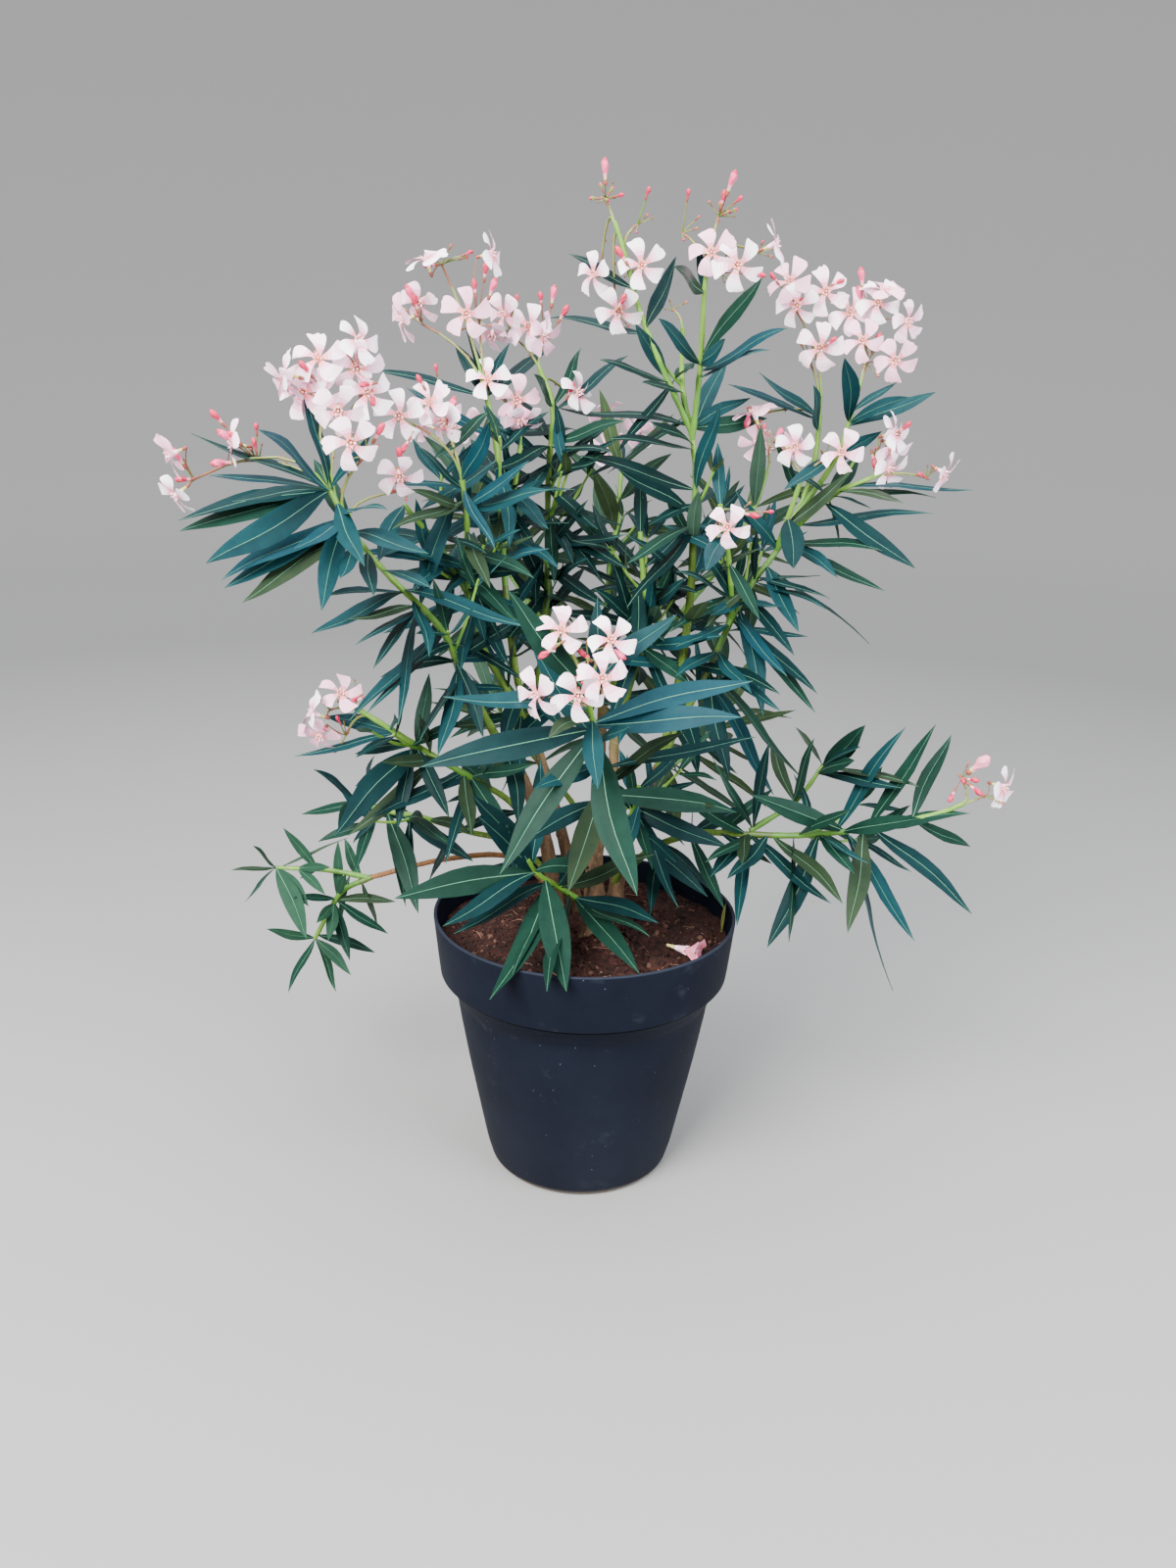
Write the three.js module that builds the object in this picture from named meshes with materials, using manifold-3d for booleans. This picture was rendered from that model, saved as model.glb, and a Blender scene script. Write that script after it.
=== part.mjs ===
// Potted oleander in flower, in millimetres, +Z up.
// The origin is the centre of the pot's flat underside, and the front of the plant faces -Y.
// Stems rise from the soil, boughs fork from them, and every bough ends in a mass of leaf and blossom.

import * as THREE from 'three';
import { mergeVertices } from 'three/addons/utils/BufferGeometryUtils.js';
import Module from 'manifold-3d';

const wasm = await Module();
wasm.setup();

// Driving dimensions of the pot and its soil
const potHeight = 352;
const rimRadius = 195;
const rimFlare = 3.5;
const rimFoot = 318;
const collarRadius = 186;
const collarFoot = 275;
const neckRadius = 165.4;
const neckHeight = 238;
const footRadius = 112;
const potWall = 4.5;
const soilHeight = 325;
const gap = 0.3;
const potSides = 28;

// Driving dimensions of the plant
const leafLength = 150;
const leafSlenderness = 5.6;
const leafDepth = 3;
const whorlSpacing = 50;
const whorlTurn = 60;
const limbSides = 5;
const limbStep = 60;
const shootRadius = 4;
const stalkRadius = 1.3;
const pedicelLength = 31;
const forkStep = 4.5;
const flowerRadius = 25;
const budRadius = 3.6;
const throatDepth = 4;
const lightSide = 180;
const flareShare = 0.7;
const flareHeight = 14;
const forkSlimness = 0.4;
const shootTaper = 0.75;

// How leaves stand on a shoot, from the oldest to the youngest, with how far each may stray
const leafSpread = [82, 40];
const leafShare = [1.02, 0.72];
const leafSag = [0.2, 0.08];
const leafDroop = 0.26;
const turnPlay = 24;
const spreadPlay = 14;
const lengthPlay = 0.2;
const widestAt = 0.42;

// How flowers and buds stand on a head: it faces out from a line behind the plant's middle
const facingLine = { front: 420, back: -60 };
const headLift = 0.3;
const headLean = 0.3;
const hubShare = 0.9;
const flowerTilt = 52;
const flowerReach = 1.25;
const flowerOpening = 0.4;
const budTilt = 22;
const budTiltStep = 9;
const budReach = 1.35;
const budTurn = 137.5;
const budStart = 70;
const mostBuds = 4;

// Colours from the real thing
const potColour = 0x282c36;
const soilColour = 0x3a2019;
const woodColour = 0x7d6547;
const greenWoodColour = 0x6f8038;
const leafColour = 0x1f5a50;
const petalColour = 0xf5d3d8;

const up = new THREE.Vector3(0, 0, 1);
const radians = THREE.MathUtils.degToRad;
const lerp = THREE.MathUtils.lerp;
const vector = (point) => new THREE.Vector3(...point);

// Draws between 0 and 1, the same in every run
function seeded(seed) {
  let state = (seed * 7919) % 2147483647;
  return () => {
    state = (state * 48271) % 2147483647;
    return state / 2147483647;
  };
}

// A solid from a closed geometry, its shared corners merged and its collapsed faces dropped
function toSolid(geometry) {
  geometry.deleteAttribute('normal');
  geometry.deleteAttribute('uv');
  const merged = mergeVertices(geometry, 1e-3);
  const corners = [];
  for (let i = 0; i < merged.index.count; i += 3) {
    const face = [merged.index.getX(i), merged.index.getX(i + 1), merged.index.getX(i + 2)];
    if (new Set(face).size === 3) corners.push(...face);
  }
  return new wasm.Manifold(new wasm.Mesh({
    numProp: 3,
    vertProperties: new Float32Array(merged.attributes.position.array),
    triVerts: new Uint32Array(corners),
  }));
}

// The geometry of a solid, for its mesh
function toGeometry(solid) {
  const mesh = solid.getMesh();
  const geometry = new THREE.BufferGeometry();
  geometry.setAttribute('position', new THREE.BufferAttribute(mesh.vertProperties, 3));
  geometry.setIndex(new THREE.BufferAttribute(mesh.triVerts, 1));
  geometry.computeVertexNormals();
  return geometry;
}

// The largest connected piece, with loose scraps dropped and sealed hollows filled
function largest(solid) {
  let best = null;
  for (const piece of solid.decompose()) {
    if (!best || piece.volume() > best.volume()) best = piece;
  }
  return best;
}

// A smooth line through points, read by distance along it
class Path {
  constructor(points) {
    this.curve = new THREE.CatmullRomCurve3(points.map(vector), false, 'catmullrom', 0.5);
    this.length = this.curve.getLength();
    const chord = vector(points.at(-1)).sub(vector(points[0]));
    const sizes = chord.toArray().map(Math.abs);
    this.reference = new THREE.Vector3();
    this.reference.setComponent(sizes.indexOf(Math.min(...sizes)), 1);
  }

  at(distance) {
    return this.curve.getPointAt(THREE.MathUtils.clamp(distance / this.length, 0, 1));
  }

  heading(distance) {
    return this.curve.getTangentAt(THREE.MathUtils.clamp(distance / this.length, 0, 1));
  }

  // Two directions square to the path: one sideways, and one that completes the set
  across(distance) {
    const heading = this.heading(distance);
    const side = heading.clone().cross(this.reference).normalize();
    return [side, side.clone().cross(heading).normalize()];
  }
}

// A capped cylinder bent along a path, its half width given for each distance and height
function bend(path, sides, steps, radiusAt, endGrowth = 0) {
  const geometry = new THREE.CylinderGeometry(1, 1, 1, sides, steps);
  const corners = geometry.attributes.position;
  for (let i = 0; i < corners.count; i += 1) {
    const share = corners.getY(i) + 0.5;
    const distance = share * path.length;
    const centre = path.at(distance).addScaledVector(path.heading(distance), endGrowth * (2 * share - 1));
    const [side, rise] = path.across(distance);
    const radius = radiusAt(distance, centre.z);
    centre.addScaledVector(side, corners.getX(i) * radius).addScaledVector(rise, corners.getZ(i) * radius);
    corners.setXYZ(i, ...centre);
  }
  return toSolid(geometry);
}

// A woody limb tapering from foot to tip, with a root flare where it meets the soil
function limb(route, footWidth, tipWidth, growth = 0) {
  const path = new Path(route);
  const steps = Math.max(2, Math.round(path.length / limbStep));
  const flare = (height) => flareShare * footWidth * Math.exp((soilHeight - height) / flareHeight);
  const radiusAt = (distance, height) => (
    lerp(footWidth, tipWidth, distance / path.length) + flare(height) + growth
  );
  return bend(path, limbSides, steps, radiusAt, growth);
}

// One leaf: a keeled blade from its root to its point, arching down under its own weight
function leaf({ root, direction, normal, length, sag, growth = 0 }) {
  const geometry = new THREE.CylinderGeometry(1, 1, 1, 3, 2);
  const corners = geometry.attributes.position;
  const side = direction.clone().cross(normal).normalize();
  const face = side.clone().cross(direction).normalize();
  const halfWidth = length / leafSlenderness / 2;
  const stations = [
    { along: 0, wide: stalkRadius, deep: leafDepth / 2 },
    { along: widestAt, wide: halfWidth, deep: leafDepth },
    { along: 1, wide: 0, deep: 0 },
  ];
  const triangleWidth = Math.sin(Math.PI / 3);
  const triangleDepth = 1.5;
  for (let i = 0; i < corners.count; i += 1) {
    const { along, wide, deep } = stations[Math.round((corners.getY(i) + 0.5) * 2)];
    const point = root.clone().addScaledVector(direction, along * length);
    point.addScaledVector(up, -sag * along * along);
    point.addScaledVector(side, -(corners.getX(i) / triangleWidth) * (wide + growth));
    point.addScaledVector(face, -(corners.getZ(i) / triangleDepth) * (deep + growth));
    corners.setXYZ(i, ...point);
  }
  return toSolid(geometry);
}

// One open flower: a five-cornered disc facing outward, its back drawn in to a tube on its stalk
function flower(hub, centre, facing, turn, growth = 0) {
  const geometry = new THREE.ConeGeometry(1, 1, 5, 1);
  const corners = geometry.attributes.position;
  const side = facing.clone().cross(Math.abs(facing.z) < 0.9 ? up : new THREE.Vector3(1, 0, 0)).normalize();
  const rise = side.clone().cross(facing).normalize();
  for (let i = 0; i < corners.count; i += 1) {
    const angle = Math.atan2(corners.getX(i), corners.getZ(i));
    const onRim = Math.hypot(corners.getX(i), corners.getZ(i)) > 0.5;
    const reach = onRim ? flowerRadius + growth : 0;
    const point = centre.clone().addScaledVector(facing, growth - (onRim ? 0 : throatDepth));
    if (corners.getY(i) > 0) point.copy(hub).addScaledVector(facing, -growth);
    point.addScaledVector(side, Math.cos(angle + turn) * reach);
    point.addScaledVector(rise, Math.sin(angle + turn) * reach);
    corners.setXYZ(i, ...point);
  }
  return toSolid(geometry);
}

// One bud: a spindle that thickens from its stalk and closes to a point
function bud(hub, point, growth = 0) {
  const path = new Path([hub.toArray(), point.toArray()]);
  const swell = (distance) => [1.2, budRadius, 0][Math.round((2 * distance) / path.length)];
  return bend(path, 3, 2, (distance) => swell(distance) + growth);
}

// Stems: each rises from a flat cut on the soil. [name, half width at foot, at tip, route]
const stems = [
  ['stem_left', 11, 7, [[-34, 22, 300], [-44, 20, 390], [-58, 12, 460], [-84, 0, 534]]],
  ['stem_right', 11, 7, [[36, 36, 300], [44, 40, 390], [66, 45, 479], [91, 50, 532]]],
  ['stem_middle', 9, 6, [[-8, 56, 300], [-26, 50, 410], [-50, 45, 500], [-70, 42, 570]]],
  ['stem_centre', 9, 6, [[6, 18, 300], [10, 20, 420], [30, 32, 514], [32, 42, 583]]],
  ['stem_front', 8, 5.5, [[0, -26, 300], [10, -34, 400], [16, -70, 480], [16, -105, 535]]],
  ['stem_back', 10, 6.5, [[14, 92, 300], [14, 130, 420], [16, 170, 520], [18, 200, 590]]],
];

// Boughs: each starts inside the limb that carries it. [name, half width at foot, at tip, route]
const boughs = [
  ['bough_far_left', 5.8, 4.4, [[-84, 0, 534], [-118, -32, 600], [-150, -66, 675]]],
  ['bough_low_left', 4.6, 3.6, [[-50, 16, 430], [-95, -14, 500], [-140, -38, 538]]],
  ['bough_bottom_left', 4, 3.4, [[-42, 20, 385], [-90, 10, 436], [-150, 0, 455]]],
  ['twig_ground_left', 4, 3, [[-40, 26, 365], [-100, 60, 398], [-190, 76, 386], [-290, 80, 356]]],
  ['bough_middle_left', 5, 3.8, [[-70, 42, 570], [-104, 14, 640], [-136, -10, 705]]],
  ['bough_middle_high', 5, 3.8, [[-70, 42, 570], [-92, 34, 650], [-104, 24, 735]]],
  ['bough_middle_back', 5, 3.8, [[-70, 42, 570], [-64, 64, 660], [-58, 78, 745]]],
  ['bough_tall', 6, 4.4, [[91, 50, 532], [111, 55, 639], [121, 60, 750], [121, 60, 835]]],
  ['bough_right', 5.6, 4.2, [[91, 50, 532], [112, 54, 585], [141, 60, 640]]],
  ['bough_low_right', 5, 3.8, [[42, 40, 376], [84, 20, 430], [140, -4, 462], [196, -24, 470]]],
  ['bough_front_right', 4, 3.2, [[38, 36, 372], [48, 4, 430], [54, -18, 470]]],
  ['bough_centre', 4.8, 3.8, [[32, 42, 583], [48, 52, 632], [62, 60, 684]]],
  ['bough_back_left', 5, 3.8, [[18, 200, 590], [-40, 224, 650], [-88, 240, 706]]],
  ['bough_back_high', 5, 3.8, [[18, 200, 590], [18, 236, 670], [22, 262, 745]]],
  ['bough_back_right', 5, 3.8, [[18, 200, 590], [76, 222, 645], [124, 234, 700]]],
  ['bough_back_low_left', 4.2, 3.4, [[14, 120, 390], [-20, 160, 440], [-60, 200, 475]]],
  ['bough_back_low_right', 4.2, 3.4, [[14, 124, 400], [60, 160, 445], [104, 198, 475]]],
];

// Masses: each grows from the tip of a bough or stem. A shoot has a route, the turn of its first
// whorl, where its leaves start and stop along it, the size of its leaves, its flower heads
// [x, y, z, flowers, buds, turn], and the shoots that fork from it
const masses = {
  crown_far_left: {
    route: [[-150, -66, 675], [-172, -92, 735], [-220, -122, 793], [-250, -142, 835], [-278, -150, 888]],
    turn: 20, leaves: [24, 300], size: 1.04,
    heads: [
      [-445, -150, 902, 3, 3, 60], [-374, -150, 924, 2, 3, 20], [-295, -150, 1000, 3, 2, 80],
      [-249, -124, 1010, 4, 1, 10], [-243, -190, 938, 1, 0, 0], [-210, -120, 900, 1, 1, 0],
    ],
  },
  crown_left: {
    route: [[-136, -10, 705], [-148, -20, 769], [-146, -40, 850], [-150, -50, 894]],
    turn: 45, leaves: [20, 200], size: 0.92,
    heads: [[-208, -90, 963, 1, 1, 0], [-179, -60, 965, 2, 3, 30]],
    forks: [{
      route: [[-146, -16, 757], [-176, -40, 816], [-211, -80, 868]],
      turn: 0, leaves: [40, 125], size: 0.8, heads: [],
    }],
  },
  crown_high_left: {
    route: [[-104, 24, 735], [-110, 20, 820], [-114, 20, 901], [-120, 20, 945], [-128, 20, 983]],
    turn: 10, leaves: [20, 250], size: 0.95,
    heads: [[-218, 10, 1072, 2, 2, 0], [-195, 30, 1139, 2, 0, 0], [-146, 6, 1074, 2, 3, 90]],
    forks: [{
      route: [[-110, 22, 800], [-98, 38, 870], [-90, 40, 930]],
      turn: 50, leaves: [30, 110], size: 0.85, heads: [[-100, 30, 975, 3, 1, 70]],
    }],
  },
  crown_high_middle: {
    route: [[-58, 78, 745], [-58, 80, 830], [-58, 80, 898], [-54, 80, 973], [-70, 80, 1015]],
    turn: 0, leaves: [24, 240], size: 0.95,
    heads: [[-69, 80, 1058, 2, 2, 40], [-119, 70, 1067, 2, 1, 90], [-30, 90, 996, 1, 1, 0]],
  },
  crown_top: {
    route: [[121, 60, 835], [120, 60, 900], [112, 60, 956]],
    turn: 15, leaves: [16, 112], size: 1.05, heads: [],
    forks: [
      {
        route: [[112, 60, 950], [72, 60, 1026], [43, 60, 1090], [30, 60, 1134], [14, 60, 1176]],
        turn: 40, leaves: [18, 150], size: 0.82,
        heads: [
          [-4, 60, 1120, 1, 0, 0], [42, 52, 1128, 2, 1, 30], [20, 50, 1080, 1, 1, 0],
          [1, 60, 1216, 0, 5, 0], [46, 60, 1190, 0, 2, 90],
        ],
      },
      {
        route: [[114, 60, 940], [118, 44, 1020], [117, 24, 1100], [120, 20, 1150]],
        turn: 0, leaves: [18, 150], size: 0.8,
        heads: [
          [124, 8, 1138, 1, 0, 0], [150, 12, 1128, 1, 1, 0], [195, 38, 1156, 1, 0, 0],
          [140, 20, 1196, 0, 5, 0], [94, 30, 1180, 0, 2, 0],
        ],
      },
      {
        route: [[113, 60, 945], [100, 68, 1000], [97, 68, 1065]],
        turn: 30, leaves: [18, 90], size: 0.75, heads: [[90, 64, 1100, 0, 2, 0]],
      },
    ],
  },
  crown_right: {
    route: [[141, 60, 640], [188, 70, 750], [237, 90, 822], [268, 108, 900], [273, 110, 970]],
    turn: 30, leaves: [18, 300], size: 0.95,
    heads: [[244, 100, 1112, 3, 1, 60], [268, 92, 1050, 1, 1, 0], [188, 62, 975, 1, 3, 0]],
    forks: [
      {
        route: [[250, 98, 850], [292, 92, 918], [310, 90, 985]],
        turn: 0, leaves: [34, 140], size: 0.85,
        heads: [[338, 92, 1090, 3, 1, 20], [342, 88, 1044, 3, 1, 80]],
      },
      {
        route: [[238, 88, 826], [290, 62, 880], [330, 60, 900]],
        turn: 20, leaves: [24, 110], size: 0.85,
        heads: [[355, 60, 936, 3, 1, 40], [424, 60, 909, 1, 1, 0]],
      },
      {
        route: [[228, 84, 810], [238, 60, 860], [246, 52, 895]],
        turn: 50, leaves: [30, 80], size: 0.7,
        heads: [[232, 50, 938, 1, 1, 0], [293, 50, 932, 1, 0, 0]],
      },
      {
        route: [[176, 66, 724], [164, 34, 800], [148, 22, 868]],
        turn: 10, leaves: [30, 150], size: 0.8,
        heads: [[157, 6, 841, 1, 0, 0], [186, 14, 866, 0, 3, 0]],
      },
    ],
  },
  crown_low_right: {
    route: [[196, -24, 470], [262, -44, 478], [341, -60, 495], [420, -62, 516], [452, -62, 530]],
    turn: 30, leaves: [20, 252], size: 0.95,
    heads: [[471, -60, 570, 0, 3, 0], [505, -62, 545, 2, 2, 0]],
    forks: [{
      route: [[204, -22, 474], [262, 0, 508], [294, 10, 552]],
      turn: 0, leaves: [24, 112], size: 0.9, heads: [],
    }],
  },
  crown_front: {
    route: [[16, -105, 535], [14, -150, 600], [4, -205, 655], [-4, -228, 698]],
    turn: 76, leaves: [14, 176], size: 1.08,
    heads: [
      [-30, -250, 764, 1, 0, 0], [18, -250, 758, 1, 1, 0], [8, -272, 722, 1, 0, 0],
      [-16, -270, 702, 1, 1, 0], [-56, -250, 698, 1, 1, 0], [-4, -244, 744, 0, 3, 0],
    ],
  },
  crown_front_right: {
    route: [[54, -18, 470], [56, -28, 500], [62, -40, 535]],
    turn: 0, leaves: [12, 62], size: 0.85, heads: [],
  },
  crown_low_left: {
    route: [[-140, -38, 538], [-182, -58, 570], [-233, -70, 607], [-272, -78, 634]],
    turn: 66, leaves: [16, 150], size: 0.9,
    heads: [[-287, -80, 656, 1, 1, 0], [-326, -80, 634, 1, 1, 0], [-306, -86, 602, 1, 0, 0]],
  },
  crown_bottom_left: {
    route: [[-150, 0, 455], [-210, 0, 473], [-253, 0, 480], [-290, 0, 492]],
    turn: 20, leaves: [16, 140], size: 0.75, heads: [],
  },
  spray_ground_left: {
    route: [[-290, 80, 356], [-330, 80, 335], [-352, 80, 300], [-372, 80, 262]],
    turn: 30, leaves: [16, 120], size: 0.55, heads: [],
    forks: [{
      route: [[-296, 80, 355], [-350, 80, 364], [-420, 80, 366]],
      turn: 0, leaves: [24, 112], size: 0.55, heads: [],
    }],
  },
  spray_rim_front: {
    route: [[0, -30, 372], [-30, -52, 402], [-58, -84, 434], [-70, -98, 458]],
    turn: 15, leaves: [24, 118], size: 0.9, heads: [],
  },
  crown_centre: {
    route: [[62, 60, 684], [66, 60, 730], [60, 58, 790], [56, 56, 830]],
    turn: 44, leaves: [14, 145], size: 0.85, heads: [],
  },
  crown_back_left: {
    route: [[-88, 240, 706], [-140, 272, 780], [-176, 292, 850], [-196, 300, 900]],
    turn: 0, leaves: [20, 190], size: 1, heads: [[-214, 312, 945, 2, 2, 0]],
  },
  crown_back_high: {
    route: [[22, 262, 745], [32, 300, 820], [36, 322, 890]],
    turn: 30, leaves: [18, 160], size: 1, heads: [[30, 352, 940, 3, 2, 0]],
  },
  crown_back_right: {
    route: [[124, 234, 700], [182, 264, 770], [222, 286, 840], [238, 296, 890]],
    turn: 15, leaves: [20, 180], size: 1, heads: [[252, 316, 930, 2, 2, 0]],
  },
  crown_back_low_left: {
    route: [[-60, 200, 475], [-108, 254, 515], [-150, 304, 560]],
    turn: 45, leaves: [16, 150], size: 1, heads: [],
  },
  crown_back_low_right: {
    route: [[104, 198, 475], [160, 244, 510], [206, 286, 552]],
    turn: 5, leaves: [16, 150], size: 1, heads: [],
  },
};

// Whorls of three leaves along a shoot, each whorl turned from the last, older leaves wider and lower
function whorls(shoot, path, random) {
  const [first, last] = shoot.leaves;
  const grown = [];
  const count = Math.max(2, Math.round((last - first) / whorlSpacing) + 1);
  for (let whorl = 0; whorl < count; whorl += 1) {
    const youth = whorl / (count - 1);
    const distance = lerp(first, Math.min(last, path.length - 2), youth);
    const heading = path.heading(distance);
    const [side, rise] = path.across(distance);
    for (let part = 0; part < 3; part += 1) {
      const angle = radians(shoot.turn + whorl * whorlTurn + part * 120 + turnPlay * (random() - 0.5));
      const spread = radians(lerp(...leafSpread, youth) + spreadPlay * (random() - 0.5));
      const strength = 1 + lengthPlay * (random() - 0.5);
      const length = leafLength * shoot.size * lerp(...leafShare, youth) * strength;
      const outward = side.clone().multiplyScalar(Math.cos(angle)).addScaledVector(rise, Math.sin(angle));
      const direction = heading.clone().multiplyScalar(Math.cos(spread));
      direction.addScaledVector(outward, Math.sin(spread));
      direction.z -= leafDroop * (1 - youth);
      direction.normalize();
      const root = path.at(distance);
      const sunward = new THREE.Vector3(0, root.y < lightSide ? -0.9 : 0.9, 0);
      grown.push({
        root,
        direction,
        normal: heading.clone().multiplyScalar(0.7).add(up).add(sunward),
        length,
        sag: length * lerp(...leafSag, youth) * (1 - Math.abs(direction.z)),
      });
    }
  }
  return grown;
}

// Flowers and buds set round a head, on stalks that part at its hub
function headPieces(head, from, random) {
  const [x, y, z, flowers, buds, turn] = head;
  const centre = new THREE.Vector3(x, y, z);
  const behind = y < lightSide ? facingLine.front : facingLine.back;
  const axis = new THREE.Vector3(x, y - behind, 0).normalize();
  axis.addScaledVector(centre.clone().sub(from).normalize(), headLean);
  axis.addScaledVector(up, headLift).normalize();
  const side = axis.clone().cross(up).normalize();
  const rise = side.clone().cross(axis).normalize();
  const hub = centre.clone().addScaledVector(axis, -pedicelLength * hubShare);
  const stalk = new Path([from.toArray(), hub.toArray()]);
  const lean = (angle, tilt) => axis.clone().multiplyScalar(Math.cos(tilt))
    .addScaledVector(side, Math.sin(tilt) * Math.cos(angle))
    .addScaledVector(rise, Math.sin(tilt) * Math.sin(angle));
  const pieces = [(growth) => bend(stalk, 3, 1, () => stalkRadius + growth, growth)];
  for (let i = 0; i < flowers; i += 1) {
    const angle = radians(turn + (i * 360) / flowers);
    const facing = lean(angle, flowers > 1 ? radians(flowerTilt) : 0);
    const place = hub.clone().addScaledVector(facing, pedicelLength * (flowers > 1 ? flowerReach : 1));
    const spin = random() * Math.PI;
    const root = stalk.at(stalk.length - 2 - forkStep * i);
    const open = facing.clone().lerp(axis, flowerOpening).normalize();
    pieces.push((growth) => flower(root, place, open, spin, growth));
  }
  const shown = flowers > 0 ? 0 : Math.min(buds, mostBuds);
  for (let i = 0; i < shown; i += 1) {
    const direction = lean(radians(turn + budStart + i * budTurn), radians(budTilt + budTiltStep * i));
    const point = hub.clone().addScaledVector(direction, pedicelLength * budReach);
    const root = stalk.at(stalk.length - 2 - forkStep * (i + flowers));
    pieces.push((growth) => bud(root, point, growth));
  }
  return pieces;
}

// Whether two solids share any space
function meets(solid, other) {
  const a = solid.boundingBox();
  const b = other.boundingBox();
  for (let i = 0; i < 3; i += 1) {
    if (a.min[i] > b.max[i] || b.min[i] > a.max[i]) return false;
  }
  return !solid.intersect(other).isEmpty();
}

// The shoots of a mass in order: the stem first, then what forks from it
function shootsOf(mass) {
  return [mass, ...(mass.forks || [])];
}

const material = (colour, roughness) => new THREE.MeshStandardMaterial({
  color: colour, roughness, metalness: 0,
});
const potted = new THREE.Group();

function place(name, solid, finish) {
  const mesh = new THREE.Mesh(toGeometry(solid), finish);
  mesh.name = name;
  potted.add(mesh);
}

// The pot: one thin wall from the rounded foot up to the deep collar and its rim
const potFloor = potWall + 2;
const outerProfile = [
  [0, 0], [footRadius, 0], [footRadius + 8, 4], [footRadius + 14.5, 26], [footRadius + 38, 146],
  [neckRadius - 4, 212], [neckRadius, neckHeight], [neckRadius + 2, neckHeight + 8],
  [collarRadius - 10, collarFoot - 13], [collarRadius, collarFoot],
  [rimRadius - rimFlare, rimFoot], [rimRadius, potHeight],
];
const innerProfile = [
  [rimRadius, potHeight], [rimRadius - rimFlare, rimFoot], [collarRadius, collarFoot],
  [neckRadius + 3, neckHeight + 12], [neckRadius - 4, 212], [footRadius + 38, 146],
  [footRadius + 14.5, 26], [footRadius + 4, potFloor], [potWall, potFloor],
].map(([r, z]) => [r - potWall, z]);
const lathe = (profile) => toSolid(
  new THREE.LatheGeometry(profile.map(([r, z]) => new THREE.Vector2(r, z)), potSides).rotateX(Math.PI / 2),
);
const pot = lathe([...outerProfile, ...innerProfile]);
place('pot', pot, material(potColour, 0.6));

// The soil: it fills the pot to a little below the rim, and is flat on top
const soilClear = gap / Math.cos(Math.PI / potSides);
const soilProfile = [...innerProfile].reverse()
  .filter(([, z]) => z < soilHeight)
  .map(([r, z]) => [Math.max(0, r - soilClear), z === potFloor ? z + gap : z]);
const soilFlare = (rimFlare * (potHeight - soilHeight)) / (potHeight - rimFoot);
soilProfile.push([rimRadius - soilFlare - potWall - soilClear, soilHeight], [0, soilHeight]);
const soil = lathe(soilProfile);
place('soil', soil, material(soilColour, 0.95));

// Limbs: each is cut clear of the ones already standing, and stems are cut flat at the soil
const groundSize = 2 * rimRadius;
const ground = toSolid(
  new THREE.BoxGeometry(groundSize, groundSize, groundSize).translate(0, 0, soilHeight + gap - rimRadius),
);
const limbs = [];
const wood = material(woodColour, 0.85);
const greenWood = material(greenWoodColour, 0.7);
for (const [name, footWidth, tipWidth, route] of [...stems, ...boughs]) {
  let solid = limb(route, footWidth, tipWidth);
  for (const other of limbs) solid = solid.subtract(other.grown);
  solid = largest(solid.subtract(ground));
  limbs.push({ name, solid, grown: limb(route, footWidth, tipWidth, gap) });
  place(name, solid, name.startsWith('stem') ? wood : greenWood);
}

// The wood and blossom of each mass, which leaves of any mass have to keep clear of
const grownMasses = [];
Object.entries(masses).forEach(([name, mass], number) => {
  const random = seeded(number + 1);
  const parts = [];
  const guards = [];
  const taken = [pot, soil, ...limbs.map((other) => other.solid), ...grownMasses.map((other) => other.frame)];
  const leaves = [];
  shootsOf(mass).forEach((shoot, order) => {
    const path = new Path(shoot.route);
    const width = order === 0 ? shootRadius : shootRadius - forkSlimness;
    const steps = Math.max(2, Math.round(path.length / limbStep));
    const shape = (growth) => bend(path, 3, steps, (distance) => (
      lerp(width, width * shootTaper, distance / path.length) + growth
    ));
    parts.push(shape(0));
    guards.push(shape(gap));
    for (const [step, head] of shoot.heads.entries()) {
      for (const piece of headPieces(head, path.at(path.length - 3 - 2 * forkStep * step), random)) {
        const guard = piece(gap);
        if (taken.some((other) => meets(guard, other))) continue;
        parts.push(piece(0));
        guards.push(guard);
      }
    }
    leaves.push(...whorls(shoot, path, random));
  });
  let frame = wasm.Manifold.union(parts);
  for (const other of limbs) if (meets(frame, other.grown)) frame = frame.subtract(other.grown);
  grownMasses.push({ name, frame: largest(frame), guard: wasm.Manifold.union(guards), leaves });
});

// The leaves: one that would touch a limb, another mass or another shoot's space is left off
const leafFinish = material(leafColour, 0.5);
grownMasses.forEach((mass) => {
  const kept = [];
  const others = [
    pot, soil,
    ...limbs.map((other) => other.solid),
    ...grownMasses.filter((other) => other !== mass).map((other) => other.solid || other.guard),
  ];
  const inside = [];
  for (const one of mass.leaves) {
    const guard = leaf({ ...one, growth: 2 * gap });
    const root = one.root.clone().addScaledVector(one.direction, 0.2 * one.length);
    const blade = leaf({ ...one, root, length: 0.8 * one.length });
    if (others.some((other) => meets(guard, other))) continue;
    if ([mass.frame, ...inside].some((other) => meets(blade, other))) continue;
    inside.push(blade);
    kept.push(leaf(one));
  }
  mass.solid = largest(wasm.Manifold.union([mass.frame, ...kept]));
  place(mass.name, mass.solid, leafFinish);
});

// The fallen blossom that lies on the soil near the rim
const fallenCentre = new THREE.Vector3(112, -86, soilHeight + gap);
const fallenHub = fallenCentre.clone().add(new THREE.Vector3(-16, 12, 20));
const fallenTurn = 0.3;
const fallen = flower(fallenHub, fallenCentre, up.clone().negate(), fallenTurn).subtract(ground);
place('fallen_blossom', largest(fallen), material(petalColour, 0.6));

export default potted;
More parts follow.
